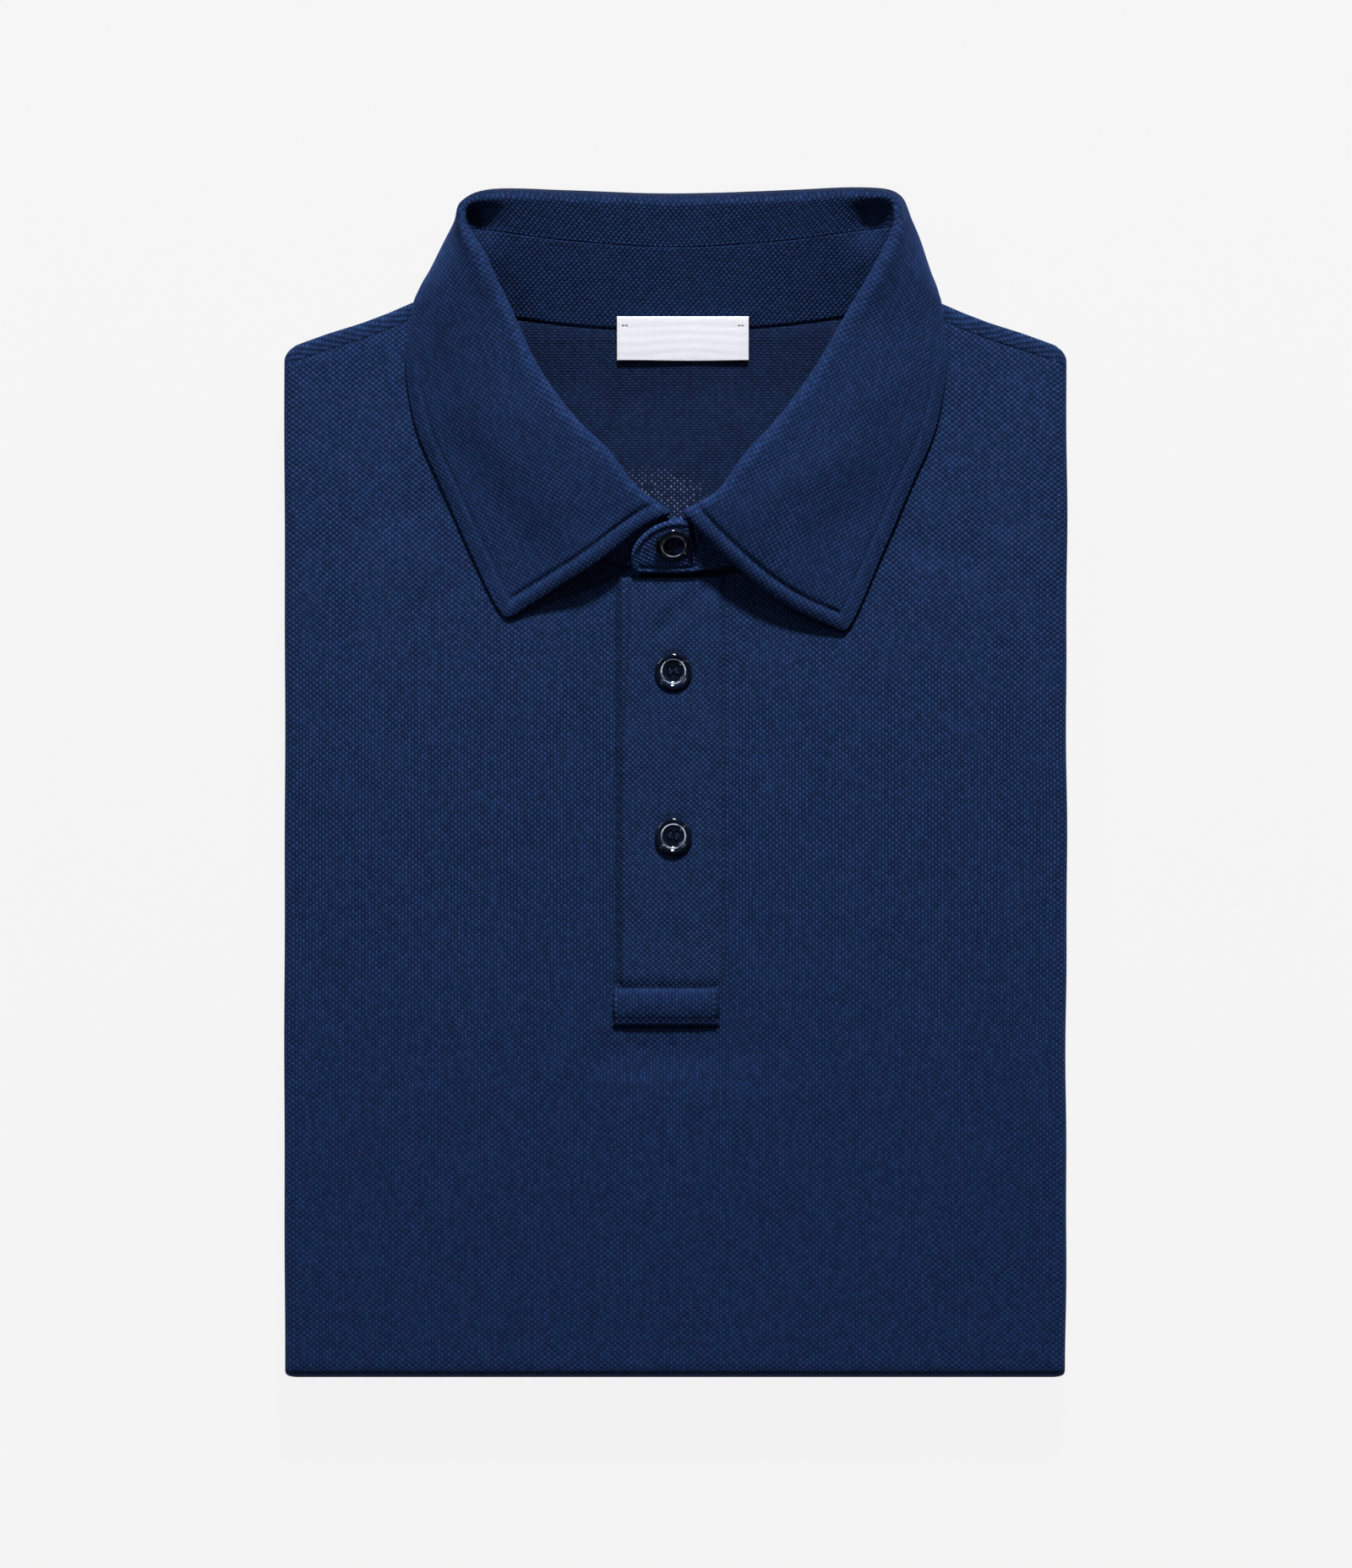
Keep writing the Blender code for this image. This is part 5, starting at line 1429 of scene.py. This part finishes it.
class POLO_OT_placket(bpy.types.Operator):
    """Placket: a double band with buttonholes, ended by a stitched box"""
    bl_idname = "polo.placket"
    bl_label = "Placket"

    def execute(self, context):
        groove = context.scene.polo_sewing.groove / MM
        for name, node, ends, sides in (
                ("placket_cloth", "placket_band", (PLACKET_TOP, PLACKET_END), (PLACKET_LEFT, PLACKET_RIGHT)),
                ("box_cloth", "placket_box", (BOX_TOP, BOX_END), (BOX_LEFT, BOX_RIGHT))):
            band = name == "placket_cloth"
            columns = strip_places(*sides, 0.6)
            rows = strip_places(*ends, 1.2 if band else 0.7)
            x, y = np.meshgrid(columns, rows)
            from_left, from_right = x - sides[0], sides[1] - x
            from_top, from_end = ends[0] - y, y - ends[1]
            if band:
                body = from_left - PLACKET_LIP
                depth = np.minimum(np.interp(from_right, (0.0, 5.0, 9.0), (0.6, 1.3, BAND_CLOTH)),
                                   np.interp(body, (-0.5, 0.5), (0.45, BAND_CLOTH)))
                inset = PLACKET_STITCH_IN + slanted(y)
                relief = -0.7 * groove * bell(body - inset, 0.5) - 0.3 * groove * bell(from_right - 1.0, 0.6)
                relief += 0.1 * inset * np.sin(math.pi * clamp(body / inset))
                relief -= 1.0 * eased(1.0 - from_end / 4.5)
                relief += creased(x, y, PLACKET_CREASES)
                for hole_y in HOLE_Y:
                    ring = np.hypot(x - BUTTON_X, y - hole_y - 1.0)
                    relief -= 0.3 * bell(ring, 8.0)
                # Painted shade: dark and mottled on the lip beside the band's free edge, along both stitch
                # lines, in the groove above the box, and above and below each buttonhole
                ragged = 0.75 + 0.35 * np.sin(y * 2.3 + 1.5 * np.sin(y * 0.8)) + 0.25 * np.sin(3.0 * x + y)
                painted_shading = 1.0 - 0.46 * eased((0.4 - body) / 0.7) * ragged
                painted_shading -= 0.3 * bell(body - inset, 0.45) + 0.14 * bell(from_right - 1.0, 0.6)
                painted_shading -= 0.28 * eased(1.0 - from_end / 3.6)
                for hole_y in HOLE_Y:
                    above = bell(x - BUTTON_X, 4.2) * bell(y - hole_y - 6.4, 1.6)
                    below = bell(x - BUTTON_X, 5.0) * bell(y - hole_y + 6.4, 0.8)
                    painted_shading -= 0.5 * above + 0.25 * below
            else:
                lips = np.minimum(from_left - BOX_LIPS[0], from_right - BOX_LIPS[1])
                depth = np.minimum(np.interp(from_end, (0.0, 1.5, 3.0), (0.5, 1.2, 1.9)),
                                   np.interp(lips, (-0.6, -0.2, 0.5), (0.2, 0.5, 2.0)))
                relief = 0.8 * np.sin(math.pi * clamp(from_top / 10.4)) ** 0.9
                relief -= 0.6 * clamp(1.0 - from_top / 1.2)
                relief -= 0.25 * groove * bell(from_end - 2.7, 0.55)
                relief += 0.25 * np.sin(math.pi * clamp(from_end / 2.5))
                relief -= 0.3 * groove * bell(lips - 1.6, 0.5)
                # Painted shade on the lips beside the box, and faintly along its stitch row
                painted_shading = 1.0 - 0.4 * eased((0.3 - lips) / 0.6) - 0.05 * bell(from_end - 3.1, 0.9)
            sunk = 0.55 * clamp(1.0 - from_right / 6.0) if band else 0.0
            z = front_top(x, y) + GAP * 0.4 + depth / 2 - sunk
            grid = np.stack([x, y, z], axis=-1)
            rim = np.minimum.reduce([from_left, from_right, from_top, from_end])
            uv = np.stack([x + 0.31, y + 0.4], axis=-1)
            cloth = placket_material(context) if band else face_material(context)
            piece, outer, _ = wall(name, grid, uv, depth, [cloth], facing=-1, relief=relief, rim=rim,
                                   painted_shading=painted_shading, radius=BAND_CLOTH / 2)
            stand_in(piece, node)

            def seam(points):
                line = []
                for px, py in points:
                    column = int(np.clip(np.searchsorted(columns, px), 1, len(columns) - 1))
                    row = int(np.clip(np.searchsorted(-rows, -py), 1, len(rows) - 1))
                    share_x = (px - columns[column - 1]) / (columns[column] - columns[column - 1])
                    share_y = (py - rows[row - 1]) / (rows[row] - rows[row - 1])
                    upper = outer[row - 1, column - 1] * (1 - share_x) + outer[row - 1, column] * share_x
                    lower = outer[row, column - 1] * (1 - share_x) + outer[row, column] * share_x
                    line.append(upper * (1 - share_y) + lower * share_y + np.array([0.0, 0.0, 0.02]))
                return line

            if band:
                top, end = ends[0] - 1.0, ends[1] + 1.0
                runs = [[(sides[0] + PLACKET_LIP + PLACKET_STITCH_IN + float(slanted(y)), y)
                         for y in spread((top, end), 3.0)],
                        [(sides[1] - 1.0, y) for y in spread((top, end), 3.0)]]
                slots = []
                for hole_y in HOLE_Y:
                    for offset in (-0.75, 0.75):
                        slots.append([(BUTTON_X + offset, hole_y + 1.0 + y)
                                      for y in spread((-7.4, 7.0), 1.0)])
                holes = sew(context, "placket_buttonholes", [seam(run) for run in slots],
                            across=True, stitch=0.0014, spacing=0.0004, thread=0.00042)
            else:
                left, right = sides[0] + BOX_LIPS[0] + 0.9, sides[1] - BOX_LIPS[1] - 0.9
                top, end = ends[0] - 1.4, ends[1] + 2.7
                runs = [[(x, end) for x in spread((left, right), 2.0)],
                        [(left, y) for y in spread((top, end), 2.0)],
                        [(right, y) for y in spread((top, end), 2.0)]]
            stitches = sew(context, name + "_stitches", [seam(run) for run in runs])
        return {"FINISHED"}


class POLO_OT_label(bpy.types.Operator):
    """Neck label: a bare woven strip with folded ends, tacked at its corners"""
    bl_idname = "polo.label"
    bl_label = "Neck label"

    def execute(self, context):
        columns = strip_places(LABEL_LEFT, LABEL_RIGHT, 1.2, LABEL_RIM)
        line = curve_rows(np.array([LABEL_Y, LABEL_Z]).T, np.linspace(0.0, len(LABEL_Y) - 1.0, 120))
        length = path_lengths(line)
        places = strip_places(0.0, length[-1], 0.7, LABEL_RIM)
        y = np.interp(places, length, line[:, 0])
        z = np.interp(places, length, line[:, 1])
        grid = np.array([[(x, row_y, row_z) for x in columns] for row_y, row_z in zip(y, z)])
        share = (grid[..., 0] - LABEL_LEFT) / (LABEL_RIGHT - LABEL_LEFT)
        loose = clamp(1.0 - places[:, None] / length[-1])
        grid[..., 2] += 0.05 * loose * np.sin(2.6 * math.pi * share + 0.4) ** 2
        grid[..., 1] += 0.10 * loose * np.sin(2.1 * math.pi * share + 1.0)
        uv = np.stack([grid[..., 0], np.broadcast_to(places[:, None], grid.shape[:2])], axis=-1)
        fold = 0.08 * bell(np.minimum(columns - LABEL_LEFT, LABEL_RIGHT - columns)[None, :] - 1.2, 1.4)
        piece, outer, _ = wall("label_cloth", grid, uv, 0.7, [label_material()], relief=fold)
        stand_in(piece, "neck_label")
        lines = []
        row = len(y) - 8
        for side in (0, 1):
            near = np.nonzero((columns > (LABEL_LEFT + 1.2 if side == 0 else LABEL_RIGHT - 3.4))
                              & (columns < (LABEL_LEFT + 3.4 if side == 0 else LABEL_RIGHT - 1.2)))[0]
            lines.append([outer[row, column] + np.array([0.0, -0.03, 0.06]) for column in near])
        stitches = sew(context, "label_tacks", lines, stitch=0.0009, spacing=0.0011,
                       thread=0.00022)
        return {"FINISHED"}


def turned_button(name, sizes, material):
    """A turned four-hole button standing on the origin, in metres."""
    profile = np.array(BUTTON_PROFILE)
    fine = curve_rows(profile, spread(np.arange(len(profile)).astype(float), 0.34))
    fine[:, 0] = np.maximum(fine[:, 0], 0.0)
    fine[0], fine[-1] = profile[0], profile[-1]
    count = sizes.segments
    vertices = [(0.0, 0.0, profile[0][1])]
    for radius, height in fine[1:-1]:
        for step in range(count):
            angle = 2 * math.pi * step / count
            vertices.append((radius * math.cos(angle), radius * math.sin(angle), height))
    vertices.append((0.0, 0.0, profile[-1][1]))
    faces = []
    rings = len(fine) - 2
    for step in range(count):
        following = (step + 1) % count
        faces.append((0, 1 + following, 1 + step))
        for ring in range(rings - 1):
            start = 1 + ring * count
            faces.append((start + step, start + following, start + count + following, start + count + step))
        last = 1 + (rings - 1) * count
        faces.append((last + step, last + following, len(vertices) - 1))
    mesh = bpy.data.meshes.new(name)
    mesh.from_pydata((np.array(vertices) * MM).tolist(), [], faces)
    mesh.materials.append(material)
    mesh.materials.append(ridge_highlight_material())
    middles = np.array([np.mean(np.array([vertices[corner] for corner in face]), axis=0) for face in faces])
    reach = np.hypot(middles[:, 0], middles[:, 1])
    # The ridge's faces take the painted highlight
    ridge = (reach > BUTTON_HIGHLIGHT_RING[0]) & (reach < BUTTON_HIGHLIGHT_RING[1]) & (middles[:, 2] > 1.5)
    mesh.polygons.foreach_set("material_index", ridge.astype(np.int32))
    return finished(name, mesh)


def drill(context, button, sizes):
    """Cuts the button's four holes and softens their edges."""
    cutters = []
    for hole in range(4):
        angle = math.pi / 4 + hole * math.pi / 2
        sides = 20
        vertices = []
        for share, height in ((1.0, -1.0), (1.0, 1.05), (1.1, 1.2), (1.35, 1.32), (1.8, 3.0)):
            radius = sizes.hole * share
            for step in range(sides):
                turn = 2 * math.pi * step / sides
                vertices.append((sizes.hole_out * math.cos(angle) + radius * math.cos(turn),
                                 sizes.hole_out * math.sin(angle) + radius * math.sin(turn), height * MM))
        faces = [tuple(range(sides - 1, -1, -1)), tuple(range(4 * sides, 5 * sides))]
        for ring in range(4):
            for step in range(sides):
                following = (step + 1) % sides
                faces.append((ring * sides + step, ring * sides + following,
                              (ring + 1) * sides + following, (ring + 1) * sides + step))
        mesh = bpy.data.meshes.new("hole_cutter")
        mesh.from_pydata(vertices, [], faces)
        cutter = finished("hole_cutter", mesh)
        cut = button.modifiers.new("hole", "BOOLEAN")
        cut.operation = "DIFFERENCE"
        cut.solver = "EXACT"
        cut.object = cutter
        cutters.append(cutter)
    context.view_layer.update()
    mesh = bpy.data.meshes.new_from_object(button.evaluated_get(context.evaluated_depsgraph_get()))
    button.modifiers.clear()
    button.data = mesh
    for cutter in cutters:
        bpy.data.objects.remove(cutter)
    mesh.shade_smooth()
    mesh.set_sharp_from_angle(angle=math.radians(50.0))
    return button


class POLO_OT_buttons(bpy.types.Operator):
    """Buttons: two on the placket and one on the stand, sewn on with thread"""
    bl_idname = "polo.buttons"
    bl_label = "Buttons"

    def execute(self, context):
        sizes = context.scene.polo_buttons
        material = button_material(context)
        angle = front_slope()[0]
        lift = OVERLAP_LIFT[0] + COLLAR_CLOTH / 2 - 2 * GAP
        # Node, place in millimetres, tilt, and turn of the holes
        seats = (
            ("button_collar", on_front_slope(BUTTON_X, COLLAR_BUTTON_Y, lift), angle, 0.35),
            ("button_upper", (BUTTON_X, BUTTON_UPPER_Y, STACK + BAND_CLOTH), 0.0, 0.1),
            ("button_lower", (BUTTON_X, BUTTON_LOWER_Y, STACK + BAND_CLOTH), 0.0, -0.15),
        )
        for node, place, tilt, turn in seats:
            button = drill(context, turned_button(node + "_turned", sizes, material), sizes)
            lean = Matrix.Rotation(COLLAR_BUTTON_LEAN if tilt else 0.0, 4, Vector((1.0, 1.0, 0.0)))
            seat = (Matrix.Translation(Vector(place) * MM) @ lean @ Matrix.Rotation(tilt, 4, "X")
                    @ Matrix.Rotation(turn, 4, "Z") @ Matrix.Diagonal((1.0, 1.0, BUTTON_FLATNESS, 1.0)))
            button.data.transform(seat)
            stand_in(button, node)
            lines = []
            out = sizes.hole_out / MM * math.cos(math.pi / 4)
            for side in (-1, 1):
                for strand in (-0.22, 0.0, 0.22):
                    run = []
                    for share in np.linspace(-1.0, 1.0, 13):
                        height = 1.5 + 0.22 * (1 - share ** 4) - 0.9 * max(abs(share) - 0.8, 0.0) * 5.0
                        point = seat @ (Vector((side * out + strand, share * (out + 0.25), height)) * MM)
                        run.append(np.array(point) / MM)
                    lines.append(run)
            sew(context, node + "_thread", lines, stitch=0.0009, spacing=0.00035,
                thread=0.0003)
        return {"FINISHED"}


# ------------------------------------------------------------------ stage

# Width and height of the camera's frame, in any unit
FRAME_WIDE, FRAME_TALL = 1600.0, 1856.0
SENSOR = 36.0
FLOOR_REACH, FLOOR_Z = 6.0, -0.0005


def area_light(name, size, power, place):
    """A soft light that points at the middle of the shirt."""
    light = bpy.data.lights.new(name, "AREA")
    light.shape = "RECTANGLE"
    light.size, light.size_y = size
    light.energy = power
    lamp = finished(name, light)
    lamp.location = place
    lamp.rotation_euler = (-Vector(place)).to_track_quat("-Z", "Y").to_euler()
    return lamp


class POLO_OT_stage(bpy.types.Operator):
    """Stage: camera straight above, pale floor, and soft light from beyond the collar"""
    bl_idname = "polo.stage"
    bl_label = "Stage"

    def execute(self, context):
        sizes = context.scene.polo_stage
        camera = bpy.data.cameras.new("camera")
        camera.sensor_fit = "AUTO"
        camera.sensor_width = SENSOR
        tall = sizes.width * FRAME_TALL / FRAME_WIDE
        camera.lens = SENSOR * sizes.height / tall
        camera.clip_end = 20.0
        holder = finished("camera", camera)
        holder.location = (0.0, 0.0, sizes.height + STACK * MM)
        context.scene.camera = holder

        floor_mesh = bpy.data.meshes.new("floor")
        corners = ((-1, -1), (1, -1), (1, 1), (-1, 1))
        floor_mesh.from_pydata([(x * FLOOR_REACH, y * FLOOR_REACH, FLOOR_Z) for x, y in corners], [],
                               [(0, 1, 2, 3)])
        floor = finished("floor", floor_mesh)
        material, tree, shader = new_material(
            "pale_floor", {"Roughness": 0.9, "Specular IOR Level": 0.1, "Emission Strength": 0.975,
                           "Base Color": (*[0.02 * part for part in sizes.floor], 1.0),
                           "Emission Color": (*sizes.floor, 1.0)})
        place = put(tree, "ShaderNodeTexCoord").outputs["Object"]
        paper = put(tree, "ShaderNodeTexNoise", {"Vector": place, "Scale": 900.0, "Detail": 3.0})
        grain = put(tree, "ShaderNodeBump", {"Height": paper.outputs["Fac"], "Distance": 0.0002,
                                             "Strength": 0.2})
        tree.links.new(grain.outputs[0], shader.inputs["Normal"])
        floor_mesh.materials.append(material)

        area_light("key", (0.28, 0.22), sizes.key, (0.13, 2.05, 1.30))
        area_light("upper_left_glint", (0.50, 0.09), 5.0, (-1.0, 0.85, 1.35))
        area_light("lower_left_glint", (0.10, 0.08), 1.1, (-0.85, -0.80, 1.35))
        area_light("right_glint", (0.12, 0.10), 1.6, (0.95, 0.8, 1.3))
        world = bpy.data.worlds.new("studio")
        context.scene.world = world
        world.use_nodes = True
        tree = world.node_tree
        background = tree.nodes["Background"]
        background.inputs["Color"].default_value = (1.0, 0.60, 0.48, 1.0)
        way = put(tree, "ShaderNodeSeparateXYZ", {0: put(tree, "ShaderNodeTexCoord").outputs["Generated"]})
        band = calc("MULTIPLY", smooth_step(way.outputs[2], 0.50, 0.56),
                    smooth_step(way.outputs[2], 0.74, 0.64))
        turn = calc("ARCTAN2", way.outputs[1], way.outputs[0])
        around = calc("MULTIPLY_ADD", calc("SINE", turn), 0.45, 0.55)
        light = calc("MULTIPLY_ADD", calc("MULTIPLY", band, around), sizes.fill, 0.012)
        tree.links.new(light, background.inputs["Strength"])
        context.scene.view_settings.view_transform = "Standard"
        return {"FINISHED"}


# ------------------------------------------------------------------ add-on

class POLO_PT_panel(bpy.types.Panel):
    """Pieces of the shirt and their sizes"""
    bl_idname = "POLO_PT_panel"
    bl_label = "Folded Polo Shirt"
    bl_space_type = "VIEW_3D"
    bl_region_type = "UI"
    bl_category = "Polo Shirt"

    def draw(self, context):
        for operator in OPERATORS:
            self.layout.operator(operator.bl_idname)
        for label, (name, group) in SETTINGS.items():
            box = self.layout.box()
            box.label(text=label)
            for key in group.__annotations__:
                box.prop(getattr(context.scene, name), key)


SETTINGS = {
    "Cloth": ("polo_cloth", PoloCloth),
    "Sewing": ("polo_sewing", PoloSewing),
    "Buttons": ("polo_buttons", PoloButtons),
    "Stage": ("polo_stage", PoloStage),
}
OPERATORS = (POLO_OT_front, POLO_OT_back, POLO_OT_layers, POLO_OT_fall, POLO_OT_stand, POLO_OT_placket,
             POLO_OT_label, POLO_OT_buttons, POLO_OT_stage)


def register():
    """Makes the classes and the settings known to Blender."""
    for name, group in SETTINGS.values():
        bpy.utils.register_class(group)
        setattr(bpy.types.Scene, name, PointerProperty(type=group))
    for known in OPERATORS + (POLO_PT_panel,):
        bpy.utils.register_class(known)


def unregister():
    """Takes the classes and the settings away again."""
    for known in (POLO_PT_panel,) + OPERATORS[::-1]:
        bpy.utils.unregister_class(known)
    for name, group in SETTINGS.values():
        delattr(bpy.types.Scene, name)
        bpy.utils.unregister_class(group)


def main():
    """Dresses the frame."""
    register()
    for operator in OPERATORS:
        group, name = operator.bl_idname.split(".")
        getattr(getattr(bpy.ops, group), name)()


if __name__ == "__main__":
    main()
